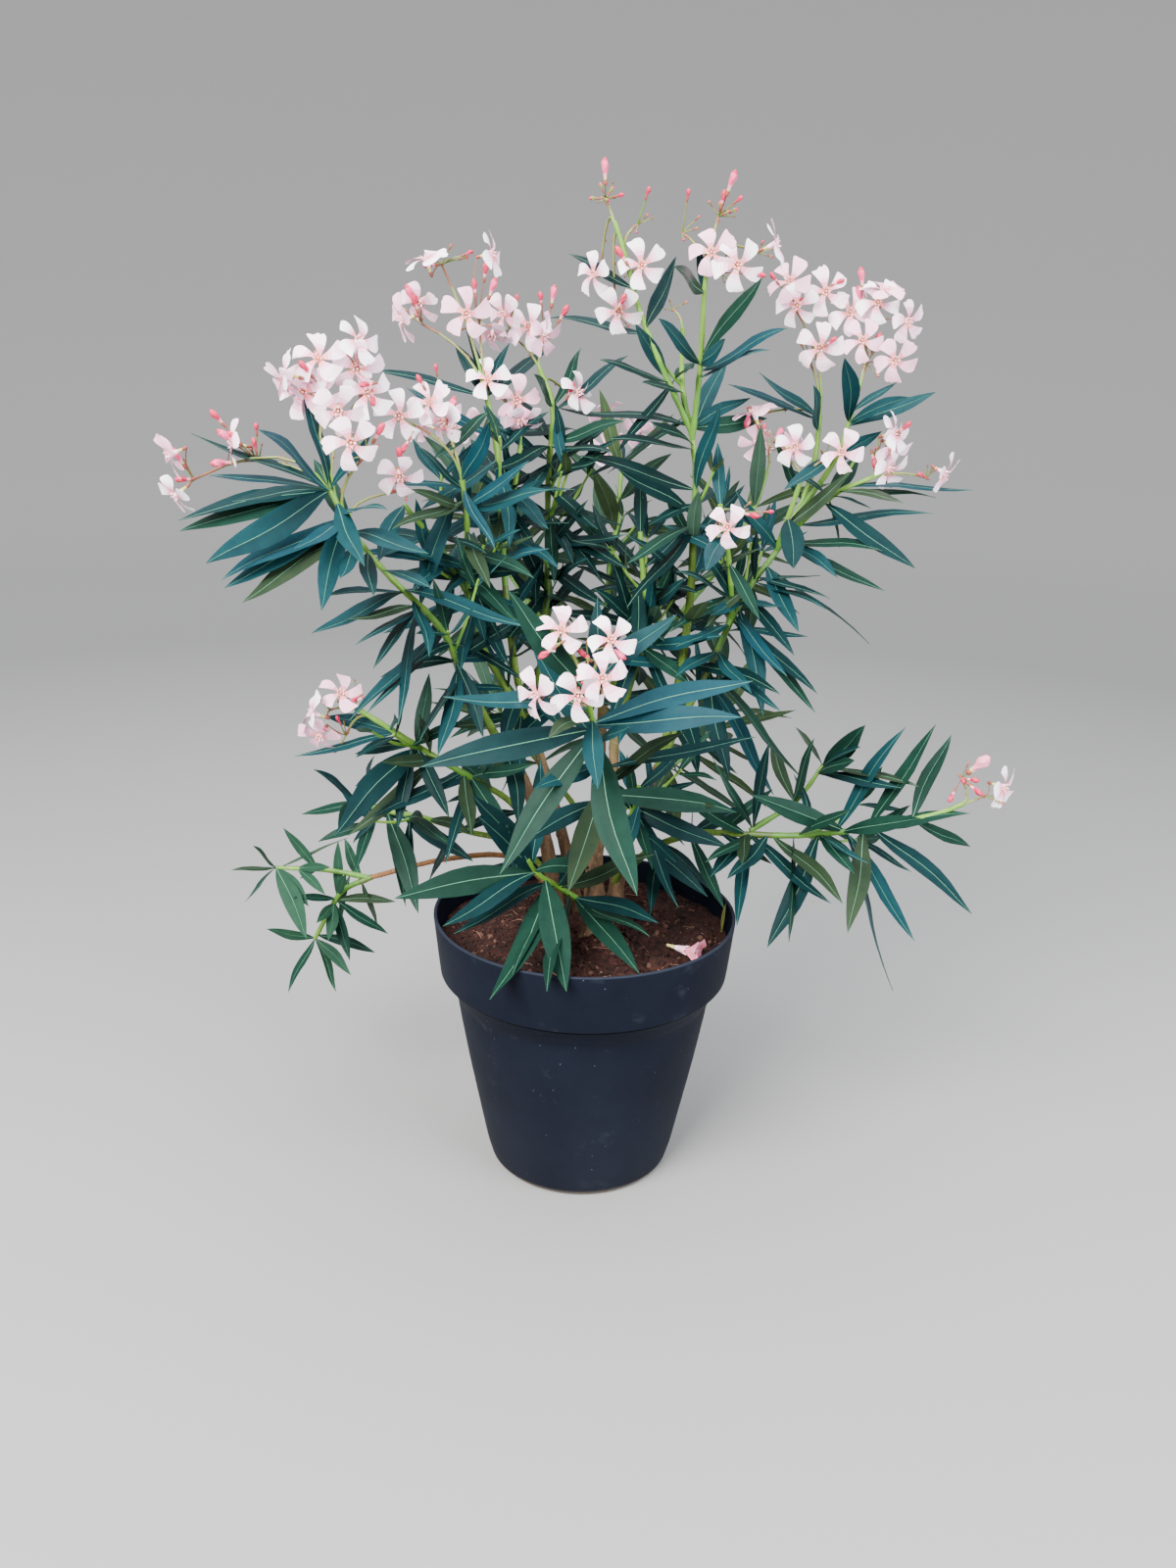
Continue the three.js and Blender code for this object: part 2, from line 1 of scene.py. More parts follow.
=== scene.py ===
# A potted oleander in flower: a round plastic pot, its soil, a clump of woody stems, and the
# leaf and blossom of every mass. The plant's tables are in millimetres, which mm turns to metres.

import itertools
import math

import bpy
import numpy as np
from mathutils import Matrix, Vector, noise


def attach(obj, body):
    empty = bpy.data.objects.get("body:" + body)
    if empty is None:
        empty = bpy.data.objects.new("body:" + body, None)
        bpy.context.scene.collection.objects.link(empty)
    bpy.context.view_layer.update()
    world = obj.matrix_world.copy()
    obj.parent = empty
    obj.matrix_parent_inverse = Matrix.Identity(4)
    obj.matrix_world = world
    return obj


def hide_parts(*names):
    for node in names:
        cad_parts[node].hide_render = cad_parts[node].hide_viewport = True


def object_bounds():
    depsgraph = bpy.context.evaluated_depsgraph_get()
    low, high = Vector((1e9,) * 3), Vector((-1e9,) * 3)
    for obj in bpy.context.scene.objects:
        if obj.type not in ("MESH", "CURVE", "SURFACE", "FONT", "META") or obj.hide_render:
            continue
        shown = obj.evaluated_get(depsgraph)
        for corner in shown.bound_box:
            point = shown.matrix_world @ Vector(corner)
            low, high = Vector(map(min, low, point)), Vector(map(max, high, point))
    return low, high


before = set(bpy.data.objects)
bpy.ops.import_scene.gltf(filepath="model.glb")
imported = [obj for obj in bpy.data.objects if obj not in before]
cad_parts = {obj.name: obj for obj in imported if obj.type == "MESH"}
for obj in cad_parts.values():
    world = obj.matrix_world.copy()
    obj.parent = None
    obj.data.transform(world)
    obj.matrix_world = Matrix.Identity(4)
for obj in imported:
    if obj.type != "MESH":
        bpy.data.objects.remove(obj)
cad_box = np.array(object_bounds())
mm = 0.001

# Camera. It stands where the photograph was taken, 1.46 m in front of the pot and a metre up,
# looking 18 degrees down. The picture is 1200 by 1600 pixels, and its lens is 1253 pixels long.
picture_width = 1200
picture_height = 1600
lens_pixels = 1253
film_height = 36
eye = np.array([0.0, -1.464, 1.004])
pitch = math.radians(18.19)
roll = math.radians(-1.46)

forward = np.array([0.0, math.cos(pitch), -math.sin(pitch)])
level_right = np.array([1.0, 0.0, 0.0])
level_up = np.cross(level_right, forward)
screen_right = level_right * math.cos(roll) - level_up * math.sin(roll)
screen_up = level_right * math.sin(roll) + level_up * math.cos(roll)


def sight_line(u, v):
    """The direction in which the camera sees a pixel of the picture."""
    line = (
        forward
        + screen_right * (u - picture_width / 2) / lens_pixels
        + screen_up * (picture_height / 2 - v) / lens_pixels
    )
    return line / np.linalg.norm(line)


def pixels_of(points):
    """The pixels at which the camera sees points."""
    seen = np.asarray(points) - eye
    depth = seen @ forward
    u = picture_width / 2 + lens_pixels * (seen @ screen_right) / depth
    v = picture_height / 2 - lens_pixels * (seen @ screen_up) / depth
    return np.stack([u, v], -1)


camera = bpy.data.objects.new("camera", bpy.data.cameras.new("camera"))
bpy.context.scene.collection.objects.link(camera)
camera.data.sensor_width = film_height
camera.data.lens = film_height * lens_pixels / picture_height
turned = Matrix([screen_right, screen_up, -forward]).transposed().to_4x4()
camera.matrix_world = Matrix.Translation(eye) @ turned
bpy.context.scene.camera = camera

# Pot. A thin tapered shell of anthracite plastic with a deep collar, moulded in one piece. Its
# skin is matt, with faint scuffs, dust low down and dirt round the foot; a paler band at the rim
# is a painted highlight, and a dark band in the crease under the collar is painted shade.
pot_height = 352
rim_radius = 195
rim_flare = 3.5
rim_foot = 318
collar_radius = 186
collar_foot = 275
neck_radius = 165.4
foot_radius = 112
pot_wall = 4.5
pot_sides = 144
dust_top = 260
dust_strength = 0.12
dust_full = 20
scuff_strength = 0.28
scuff_range = 0.61, 0.82
crease_shade_reach = 1.9
rim_highlight = 0.4
foot_dirt = 0.8
dirt_top = 9
dirt_full = 3

# Each corner of the profile: radius, height, and how far its rounding reaches
outer_profile = [
    (foot_radius, 0, 0), (foot_radius + 8, 3.5, 6), (foot_radius + 14.5, 26, 12),
    (foot_radius + 38, 146, 24), (neck_radius - 4, 212, 10), (neck_radius, 238, 8),
    (neck_radius + 2, 246, 6), (collar_radius - 10, 262, 8), (collar_radius - 2.4, collar_foot - 2.4, 0.8),
    (collar_radius - 2.2, collar_foot - 0.6, 0.4), (collar_radius + 0.8, collar_foot + 0.4, 1.0),
    (collar_radius + 2.6, 290, 6), (rim_radius - rim_flare, rim_foot, 12), (rim_radius, pot_height, 1.2),
]
inner_profile = [
    (rim_radius, pot_height, 1.2), (rim_radius - rim_flare, rim_foot, 8), (collar_radius, collar_foot, 8),
    (neck_radius + 3, 250, 6), (neck_radius - 4, 212, 6), (foot_radius + 38, 146, 12),
    (foot_radius + 14.5, 26, 8), (foot_radius + 4, pot_wall + 2, 4), (60, pot_wall + 2, 0),
]
pot_profile = outer_profile + [(radius - pot_wall, height, reach) for radius, height, reach in inner_profile]


class Skin:
    """Corners and faces gathered for one mesh, each face with the number of its material."""

    def __init__(self):
        self.corners = []
        self.faces = []
        self.finishes = []
        self.places = []
        self.count = 0

    def add(self, points, faces, finishes, places=None):
        """Takes a block of points, faces that count from its first point, and their materials."""
        self.corners.append(points)
        self.faces.extend((np.asarray(block) + self.count).tolist() for block in faces)
        self.finishes.append(finishes)
        self.places.append(np.zeros((len(points), 3)) if places is None else places)
        self.count += len(points)

    def loft(self, rings, finish=0, places=None, under=0):
        """Skins rings of points that turn anticlockwise about the way they go, and caps both ends.

        The last faces of each ring, as many as under says, are split along their other diagonal, so
        that the two sides of a thin twisted blade never cross.
        """
        rings = np.asarray(rings, float)
        if rings.ndim == 3:
            rings = rings[None]
        many, long, around = rings.shape[:3]
        first = (np.arange(many) * long * around)[:, None, None]
        ring = np.arange(long - 1)[None, :, None] * around
        here = np.arange(around)[None, None, :]
        after = (here + 1) % around
        quads = np.stack([
            first + ring + here, first + ring + after,
            first + ring + around + after, first + ring + around + here,
        ], -1)
        quads[:, :, around - under:] = np.roll(quads[:, :, around - under:], -1, axis=-1)
        finish = np.broadcast_to(np.asarray(finish), (many, long - 1, around))
        foot = first[:, 0] + np.arange(around)[::-1]
        tip = first[:, 0] + (long - 1) * around + np.arange(around)
        caps = np.concatenate([foot, tip])
        cap_finish = np.concatenate([finish[:, 0, 0], finish[:, -1, 0]])
        self.add(
            rings.reshape(-1, 3), [quads.reshape(-1, 4), caps],
            np.concatenate([finish.ravel(), cap_finish]),
            None if places is None else places.reshape(-1, 3),
        )

    def scatter(self, points, triangles, finish=0):
        """Adds copies of one small solid: points is one block of corners for each copy."""
        many, corners = points.shape[:2]
        first = (np.arange(many) * corners)[:, None, None]
        faces = (first + np.asarray(triangles)[None]).reshape(-1, 3)
        finishes = np.broadcast_to(np.reshape(finish, (-1, 1)), (many, len(triangles))).ravel()
        self.add(points.reshape(-1, 3), [faces], finishes)

    def build(self, name, materials, slot, replaced, sharp=60):
        """Makes the object, which rides on the part's one body and stands for its CAD nodes."""
        faces = [face for block in self.faces for face in block]
        mesh = bpy.data.meshes.new(name)
        mesh.from_pydata(np.concatenate(self.corners), [], faces)
        for material in materials:
            mesh.materials.append(material)
        mesh.polygons.foreach_set("material_index", np.concatenate(self.finishes).astype(np.int32))
        place = mesh.attributes.new("place", "FLOAT_VECTOR", "POINT")
        place.data.foreach_set("vector", np.concatenate(self.places).astype(np.float32).ravel())
        mesh.shade_smooth()
        mesh.set_sharp_from_angle(angle=math.radians(sharp))
        made = bpy.data.objects.new(name, mesh)
        bpy.context.scene.collection.objects.link(made)
        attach(made, "root")
        if replaced:
            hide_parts(*replaced)
        return made


def rounded(profile, steps=6):
    """A profile's points in metres, with each corner eased over its reach on both sides."""
    points = np.array([corner[:2] for corner in profile], float)
    eased = [points[0]]
    for i in range(1, len(profile) - 1):
        before = points[i - 1] - points[i]
        after = points[i + 1] - points[i]
        sizes = np.linalg.norm(before), np.linalg.norm(after)
        reach = min(profile[i][2], sizes[0] * 0.45, sizes[1] * 0.45)
        start = points[i] + before / sizes[0] * reach
        end = points[i] + after / sizes[1] * reach
        for t in np.linspace(0, 1, steps):
            eased.append((1 - t) ** 2 * start + 2 * t * (1 - t) * points[i] + t * t * end)
    eased.append(points[-1])
    return np.array(eased) * mm


def circle(count):
    """Angles spread evenly all round."""
    return np.arange(count) * 2 * math.pi / count


def turned_rings(profile, sides):
    """Rings about the upright axis through each point of a profile."""
    angle = circle(sides)
    radius, height = profile[:, :1], profile[:, 1:]
    return np.stack([radius * np.cos(angle), radius * np.sin(angle), height + 0 * angle], -1)


def colour(red, green, blue):
    """A colour as the eye reads it, 0 to 255, in the renderer's linear values."""
    shares = np.array([red, green, blue]) / 255
    return (*np.where(shares <= 0.04045, shares / 12.92, ((shares + 0.055) / 1.055) ** 2.4), 1.0)


def effect(name, inputs, outputs):
    """A new node group with the named inputs and outputs, each given as name: (kind, value)."""
    group = bpy.data.node_groups.new(name, "ShaderNodeTree")
    for label, (kind, value) in inputs.items():
        socket = group.interface.new_socket(label, in_out="INPUT", socket_type=f"NodeSocket{kind}")
        socket.default_value = value
    for label, kind in outputs.items():
        group.interface.new_socket(label, in_out="OUTPUT", socket_type=f"NodeSocket{kind}")
    return group, group.nodes.new("NodeGroupInput"), group.nodes.new("NodeGroupOutput")


def plug(tree, node, values):
    """Links a node's inputs to sockets, or sets them to plain values."""
    for key, value in values.items():
        if isinstance(value, bpy.types.NodeSocket):
            tree.links.new(value, node.inputs[key])
        else:
            node.inputs[key].default_value = value
    return node


def wire(tree, kind, values=None, **settings):
    """A new node with its settings, and its inputs linked or set."""
    node = tree.nodes.new(f"ShaderNode{kind}")
    for key, value in settings.items():
        setattr(node, key, value)
    return plug(tree, node, values or {})


def use(tree, group, **values):
    """A group placed in a tree, with its named values linked or set."""
    return plug(tree, wire(tree, "Group", node_tree=group), values)


def reckon(tree, operation, *values):
    """The result of a sum on sockets or plain values."""
    return wire(tree, "Math", dict(enumerate(values)), operation=operation).outputs[0]


def ramp(tree, value, start, end, low=0.0, high=1.0):
    """How far a value has come from start to end, given as low to high."""
    limits = {"Value": value, "From Min": start, "From Max": end, "To Min": low, "To Max": high}
    return wire(tree, "MapRange", limits).outputs[0]


def laid_over(tree, share, below, above):
    """One colour laid over another by a share from 0 to 1."""
    return wire(tree, "Mix", {0: share, 6: below, 7: above}, data_type="RGBA").outputs[2]


# Mottling: two colours in soft patches, which may be drawn out along one axis
mottle, given, result = effect(
    "mottle",
    {
        "Light": ("Color", (0.5, 0.5, 0.5, 1)), "Dark": ("Color", (0.2, 0.2, 0.2, 1)),
        "Scale": ("Float", 40.0), "Stretch": ("Vector", (1, 1, 1)), "Softness": ("Float", 0.15),
    },
    {"Colour": "Color", "Height": "Float"},
)
light, dark, scale, stretch, softness = list(given.outputs)[:5]
spot = wire(mottle, "TexCoord").outputs["Object"]
drawn = wire(mottle, "VectorMath", {0: spot, 1: stretch}, operation="MULTIPLY").outputs[0]
cloud = wire(mottle, "TexNoise", {"Vector": drawn, "Scale": scale, "Detail": 6.0, "Roughness": 0.62})
lower = reckon(mottle, "SUBTRACT", 0.5, softness)
upper = reckon(mottle, "ADD", 0.5, softness)
share = ramp(mottle, cloud.outputs["Fac"], lower, upper)
plug(mottle, result, {"Colour": laid_over(mottle, share, dark, light), "Height": cloud.outputs["Fac"]})

# Specks: small scattered spots of another colour
specks, given, result = effect(
    "specks",
    {
        "Base": ("Color", (0.5, 0.5, 0.5, 1)), "Speck": ("Color", (0.8, 0.8, 0.8, 1)),
        "Scale": ("Float", 200.0), "Size": ("Float", 0.12), "Spread": ("Float", 0.5),
    },
    {"Colour": "Color"},
)
base, speck, scale, size, spread = list(given.outputs)[:5]
spot = wire(specks, "TexCoord").outputs["Object"]
cells = wire(specks, "TexVoronoi", {"Vector": spot, "Scale": scale})
near = reckon(specks, "LESS_THAN", cells.outputs["Distance"], size)
chosen = wire(specks, "SeparateColor", {0: cells.outputs["Color"]}).outputs[0]
mask = reckon(specks, "MULTIPLY", near, reckon(specks, "LESS_THAN", chosen, spread))
plug(specks, result, {"Colour": laid_over(specks, mask, base, speck)})


def finish(name, roughness, **settings):
    """A new material, its node tree and its shader, with plain values on the shader's sockets."""
    material = bpy.data.materials.new(name)
    material.use_nodes = True
    tree = material.node_tree
    shader = tree.nodes["Principled BSDF"]
    shader.inputs["Roughness"].default_value = roughness
    for key, value in settings.items():
        shader.inputs[key.replace("_", " ")].default_value = value
    return material, tree, shader


def roughen(tree, shader, height, strength, distance):
    """Feeds a height to the shader's normal through a bump."""
    bump = wire(tree, "Bump", {"Height": height, "Strength": strength, "Distance": distance})
    tree.links.new(bump.outputs[0], shader.inputs["Normal"])


plastic, tree, shader = finish("anthracite_plastic", 0.6, Specular_IOR_Level=0.04)
skin_tone = use(tree, mottle, Light=colour(19, 23, 34), Dark=colour(12, 15, 24), Scale=9.0, Softness=0.3)
scuffs = use(tree, mottle, Scale=24.0, Stretch=(1, 1, 1.3))
spot = wire(tree, "TexCoord").outputs["Object"]
height = wire(tree, "SeparateXYZ", {0: spot}).outputs[2]
dust_patch = wire(tree, "TexNoise", {"Vector": spot, "Scale": 7.0, "Detail": 4.0}).outputs["Fac"]
low_down = ramp(tree, height, dust_top * mm, dust_full * mm)
dust = reckon(tree, "MULTIPLY", reckon(tree, "MULTIPLY", low_down, dust_patch), dust_strength)
tone = laid_over(tree, dust, skin_tone.outputs["Colour"], colour(76, 80, 88))
scuffed = ramp(tree, scuffs.outputs["Height"], *scuff_range, high=scuff_strength)
tone = laid_over(tree, scuffed, tone, colour(62, 68, 80))
flecked = use(tree, specks, Base=tone, Speck=colour(96, 100, 108), Scale=120.0, Size=0.07, Spread=0.16)
# Painted shade: a near-black band in the crease at the foot of the collar, where shade falls.
crease_painted_shade = reckon(tree, "COMPARE", height, (collar_foot - 1.2) * mm, crease_shade_reach * mm)
tone = laid_over(tree, crease_painted_shade, flecked.outputs["Colour"], colour(5, 7, 10))
# Painted highlight: a paler band along the top two millimetres of the rim.
rim_painted_highlight = ramp(tree, height, (pot_height - 2.2) * mm, (pot_height - 0.2) * mm, high=rim_highlight)
tone = laid_over(tree, rim_painted_highlight, tone, colour(54, 60, 72))
at_foot = ramp(tree, height, dirt_top * mm, dirt_full * mm, high=foot_dirt)
tone = laid_over(tree, at_foot, tone, colour(118, 104, 88))
plug(tree, shader, {"Base Color": tone, "Roughness": ramp(tree, dust_patch, 0.0, 1.0, 0.46, 0.66)})
grain = wire(tree, "TexNoise", {"Vector": spot, "Scale": 620.0, "Detail": 3.0})
roughen(tree, shader, grain.outputs["Fac"], 0.35, 0.0006)

pot_skin = Skin()
pot_skin.loft(turned_rings(rounded(pot_profile), pot_sides))
pot_skin.build("pot_shell", [plastic], "pot", ["pot"], sharp=50)

# Soil. Dark red-brown potting soil, moist and crumbly, lying a little below the rim and heaped
# towards the stems, with pale fibres and bits of bark on top. It fills the pot.
soil_height = 325
soil_sides = 180
soil_clear = 0.4
soil_steps = 64
heap = 0.007
hummocks = [(24, 3.0, 0.005), (75, 9.0, 0.0034), (240, 5.0, 0.002)]
crumb_count = 4200
crumb_least = 0.001
crumb_range = 0.0042
bark_share = 0.12
fibre_count = 120
fibre_points = 6
fibre_lift = 0.0003


def soil_level(x, y):
    """The height of the soil's top, in metres, at a place on it."""
    reach = math.hypot(x, y) / (rim_radius * mm)
    level = soil_height * mm + heap * math.exp(-(reach / 0.45) ** 2) - heap * reach**6
    for fineness, seed, rise in hummocks:
        level += rise * noise.noise(Vector((x * fineness, y * fineness, seed)))
    return level


def mottled(name, roughness, light, dark, scale, softness=0.15, stretch=(1, 1, 1), bump=None, **settings):
    """A material in two tones. Where a bump's strength and depth are given, it follows the tones."""
    material, tree, shader = finish(name, roughness, **settings)
    tone = use(tree, mottle, Light=light, Dark=dark, Scale=scale, Softness=softness, Stretch=stretch)
    tree.links.new(tone.outputs["Colour"], shader.inputs["Base Color"])
    if bump:
        roughen(tree, shader, tone.outputs["Height"], *bump)
    return material


earth, tree, shader = finish("potting_soil", 0.95, Specular_IOR_Level=0.2)
clods = use(tree, mottle, Light=colour(76, 42, 34), Dark=colour(25, 13, 11), Scale=110.0, Softness=0.14)
damp = use(tree, mottle, Light=clods.outputs["Colour"], Dark=colour(28, 17, 16), Scale=14.0, Softness=0.3)
sandy = use(
    tree, specks, Base=damp.outputs["Colour"], Speck=colour(104, 76, 62), Scale=420.0, Size=0.15, Spread=0.1,
)
tree.links.new(sandy.outputs["Colour"], shader.inputs["Base Color"])
roughen(tree, shader, clods.outputs["Height"], 0.9, 0.003)
bark_bit = mottled("bark_bit", 0.9, colour(92, 60, 44), colour(54, 33, 25), 300.0)
straw = mottled("pale_fibre", 0.8, colour(158, 120, 94), colour(100, 68, 50), 60.0)

soil_profile = [
    (radius - pot_wall - soil_clear, max(height, pot_wall + 2.4))
    for radius, height, _ in reversed(inner_profile) if height < soil_height - 12
]
taper = rim_flare * (pot_height - soil_height + 8) / (pot_height - rim_foot)
soil_rim = rim_radius - pot_wall - soil_clear - taper
side_rings = turned_rings(np.array([*soil_profile, (soil_rim - 0.4, soil_height - 22)]) * mm, soil_sides)
radii = soil_rim * mm * (1 - np.linspace(0, 1, soil_steps) ** 1.15 * 0.985)
top_rings = turned_rings(np.stack([radii, radii * 0], 1), soil_sides)
for ring in top_rings:
    ring[:, 2] = [soil_level(x, y) for x, y in ring[:, :2]]
soil_skin = Skin()
soil_skin.loft(np.concatenate([side_rings, top_rings]))
soil_skin.build("soil_bed", [earth], "soil", ["soil"], sharp=180)

# A lump with twelve corners and twenty faces, for the crumbs
golden = (1 + math.sqrt(5)) / 2
lump = np.array([
    (-1, golden, 0), (1, golden, 0), (-1, -golden, 0), (1, -golden, 0), (0, -1, golden), (0, 1, golden),
    (0, -1, -golden), (0, 1, -golden), (golden, 0, -1), (golden, 0, 1), (-golden, 0, -1), (-golden, 0, 1),
]) / math.hypot(1, golden)
lump_faces = [
    (0, 11, 5), (0, 5, 1), (0, 1, 7), (0, 7, 10), (0, 10, 11), (1, 5, 9), (5, 11, 4), (11, 10, 2),
    (10, 7, 6), (7, 1, 8), (3, 9, 4), (3, 4, 2), (3, 2, 6), (3, 6, 8), (3, 8, 9), (4, 9, 5), (2, 4, 11),
    (6, 2, 10), (8, 6, 7), (9, 8, 1),
]
random = np.random.default_rng(11)


def soil_places(count, reach=0.96):
    """Places spread evenly over the soil's top."""
    radius = np.sqrt(random.random(count)) * (rim_radius - 4 - pot_wall) * mm * reach
    angle = random.random(count) * 2 * math.pi
    x, y = radius * np.cos(angle), radius * np.sin(angle)
    return np.stack([x, y, [soil_level(*place) for place in zip(x, y)]], 1)


def random_turns(count):
    """Turns that point every way."""
    turns, _ = np.linalg.qr(random.normal(size=(count, 3, 3)))
    return turns * np.sign(np.linalg.det(turns))[:, None, None]


sizes = crumb_least + crumb_range * random.random((crumb_count, 1, 1)) ** 4
dents = 0.75 + 0.5 * random.random((crumb_count, 12, 1))
stretches = 0.55 + 0.6 * random.random((crumb_count, 1, 3))
turns = random_turns(crumb_count)
places = soil_places(crumb_count)[:, None]
crumbs = np.einsum("nij,nkj->nki", turns, lump * dents * stretches * sizes) + places
crumb_skin = Skin()
crumb_skin.scatter(crumbs, lump_faces, (random.random(crumb_count) < bark_share).astype(int))
crumb_skin.build("soil_crumbs", [earth, bark_bit], "soil", [])


def spread_tube(points, radii, sides):
    """Rings along a line of points, turning anticlockwise about the way it goes."""
    points = np.asarray(points, float)
    heading = np.gradient(points, axis=0)
    heading /= np.linalg.norm(heading, axis=1, keepdims=True)
    reference = np.zeros(3)
    reference[np.argmin(np.abs(points[-1] - points[0]))] = 1
    side = np.cross(heading, reference)
    side /= np.linalg.norm(side, axis=1, keepdims=True)
    rise = np.cross(heading, side)
    angle = circle(sides)[None, :, None]
    round_about = np.cos(angle) * side[:, None] + np.sin(angle) * rise[:, None]
    return points[:, None] + np.asarray(radii)[..., None, None] * round_about


fibre_skin = Skin()
for start in soil_places(fibre_count, 0.9):
    heading = random.random() * 2 * math.pi
    bend_rate = random.normal() * 0.6
    length = 0.006 + 0.03 * random.random() ** 2
    steps = np.linspace(0, 1, fibre_points)
    angles = heading + bend_rate * steps
    ways = np.stack([np.cos(angles), np.sin(angles), 0 * angles], 1)
    line = np.cumsum(ways, axis=0) * length / fibre_points
    line += start
    lift = 0.001 + 0.002 * random.random()
    for place, t in zip(line, steps):
        place[2] = soil_level(*place[:2]) + lift * math.sin(math.pi * t) + fibre_lift
    fibre_skin.loft(spread_tube(line, np.full(fibre_points, 0.00016 + 0.00016 * random.random()), 3))
fibre_skin.build("soil_fibres", [straw], "soil", [])

# Stems and boughs. Six woody stems rise in a clump from a flared foot in the soil, and boughs
# fork from them. The bark is grey-brown and ridged on the stems, and olive green on young wood.
limb_step = 3.5
limb_sides = 26
node_spacing = 31
root_flare = 0.7
stem_relief = 0.9
bough_relief = 0.45

# Each stem: half width at its foot, at its tip, and its route
stems = {
    "stem_left": (11, 7, [[-34, 22, 300], [-44, 20, 390], [-58, 12, 460], [-84, 0, 534]]),
    "stem_right": (11, 7, [[36, 36, 300], [44, 40, 390], [66, 45, 479], [91, 50, 532]]),
    "stem_middle": (9, 6, [[-8, 56, 300], [-26, 50, 410], [-50, 45, 500], [-70, 42, 570]]),
    "stem_centre": (9, 6, [[6, 18, 300], [10, 20, 420], [30, 32, 514], [32, 42, 583]]),
    "stem_front": (8, 5.5, [[0, -26, 300], [10, -34, 400], [16, -70, 480], [16, -105, 535]]),
    "stem_back": (10, 6.5, [[14, 92, 300], [14, 130, 420], [16, 170, 520], [18, 200, 590]]),
}

# Each bough starts inside the limb that carries it: half widths and route as for the stems
boughs = {
    "bough_far_left": (5.8, 4.4, [[-84, 0, 534], [-118, -32, 600], [-150, -66, 675]]),
    "bough_low_left": (4.6, 3.6, [[-50, 16, 430], [-95, -14, 500], [-140, -38, 538]]),
    "bough_bottom_left": (4, 3.4, [[-42, 20, 385], [-90, 10, 436], [-150, 0, 455]]),
    "twig_ground_left": (4, 3, [[-40, 26, 365], [-100, 60, 398], [-190, 76, 386], [-290, 80, 356]]),
    "bough_middle_left": (5, 3.8, [[-70, 42, 570], [-104, 14, 640], [-136, -10, 705]]),
    "bough_middle_high": (5, 3.8, [[-70, 42, 570], [-92, 34, 650], [-104, 24, 735]]),
    "bough_middle_back": (5, 3.8, [[-70, 42, 570], [-64, 64, 660], [-58, 78, 745]]),
    "bough_tall": (6, 4.4, [[91, 50, 532], [111, 55, 639], [121, 60, 750], [121, 60, 835]]),
    "bough_right": (5.6, 4.2, [[91, 50, 532], [112, 54, 585], [141, 60, 640]]),
    "bough_low_right": (5, 3.8, [[42, 40, 376], [84, 20, 430], [140, -4, 462], [196, -24, 470]]),
    "bough_front_right": (4, 3.2, [[38, 36, 372], [48, 4, 430], [54, -18, 470]]),
    "bough_centre": (4.8, 3.8, [[32, 42, 583], [48, 52, 632], [62, 60, 684]]),
    "bough_back_left": (5, 3.8, [[18, 200, 590], [-40, 224, 650], [-88, 240, 706]]),
    "bough_back_high": (5, 3.8, [[18, 200, 590], [18, 236, 670], [22, 262, 745]]),
    "bough_back_right": (5, 3.8, [[18, 200, 590], [76, 222, 645], [124, 234, 700]]),
    "bough_back_low_left": (4.2, 3.4, [[14, 120, 390], [-20, 160, 440], [-60, 200, 475]]),
    "bough_back_low_right": (4.2, 3.4, [[14, 124, 400], [60, 160, 445], [104, 198, 475]]),
}


class Path:
    """A smooth line through points, read by distance along it, all in metres."""

    def __init__(self, points):
        points = np.array(points, float) * mm
        ends = 2 * points[0] - points[1], 2 * points[-1] - points[-2]
        self.knots = np.vstack([ends[0], points, ends[1]])
        self.shares = np.linspace(0, 1, 201)
        steps = np.linalg.norm(np.diff(self.spot(self.shares), axis=0), axis=1)
        self.run = np.concatenate([[0], np.cumsum(steps)])
        self.length = self.run[-1]
        self.reference = np.zeros(3)
        self.reference[np.argmin(np.abs(points[-1] - points[0]))] = 1

    def spot(self, share):
        pieces = len(self.knots) - 3
        place = np.clip(share, 0, 1) * pieces
        piece = np.minimum(np.floor(place).astype(int), pieces - 1)
        w = np.asarray(place - piece)[..., None]
        a, b, c, d = (self.knots[piece + k] for k in range(4))
        t0, t1 = (c - a) / 2, (d - b) / 2
        return b + t0 * w + (3 * (c - b) - 2 * t0 - t1) * w**2 + (2 * (b - c) + t0 + t1) * w**3

    def share_at(self, distance):
        return np.interp(distance, self.run, self.shares)

    def at(self, distance):
        return self.spot(self.share_at(distance))

    def heading(self, distance):
        share = self.share_at(distance)
        way = self.spot(share + 1e-4) - self.spot(share - 1e-4)
        return way / np.linalg.norm(way, axis=-1, keepdims=True)

    def across(self, distance):
        """Two directions square to the path: one sideways, and one that completes the set."""
        heading = self.heading(distance)
        side = np.cross(heading, self.reference)
        side /= np.linalg.norm(side, axis=-1, keepdims=True)
        return side, np.cross(side, heading)


def bark_material(name, light, dark, ridge_strength, green_from=None):
    """Bark with long ridges and pale breathing pores, greener from a height upwards if given."""
    material, tree, shader = finish(name, 0.82, Specular_IOR_Level=0.3)
    fissures = use(tree, mottle, Light=light, Dark=dark, Scale=150.0, Stretch=(1, 1, 0.22), Softness=0.16)
    patches = use(tree, mottle, Light=fissures.outputs["Colour"], Dark=dark, Scale=22.0, Softness=0.4)
    tone = patches.outputs["Colour"]
    if green_from is not None:
        place = wire(tree, "TexCoord").outputs["Object"]
        height = wire(tree, "SeparateXYZ", {0: place}).outputs[2]
        tone = laid_over(tree, ramp(tree, height, green_from, green_from + 0.16), tone, colour(96, 108, 46))
    pores = use(tree, specks, Base=tone, Speck=colour(168, 146, 112), Scale=260.0, Size=0.17, Spread=0.3)
    tree.links.new(pores.outputs["Colour"], shader.inputs["Base Color"])
    roughen(tree, shader, fissures.outputs["Height"], ridge_strength, 0.0016)
    return material


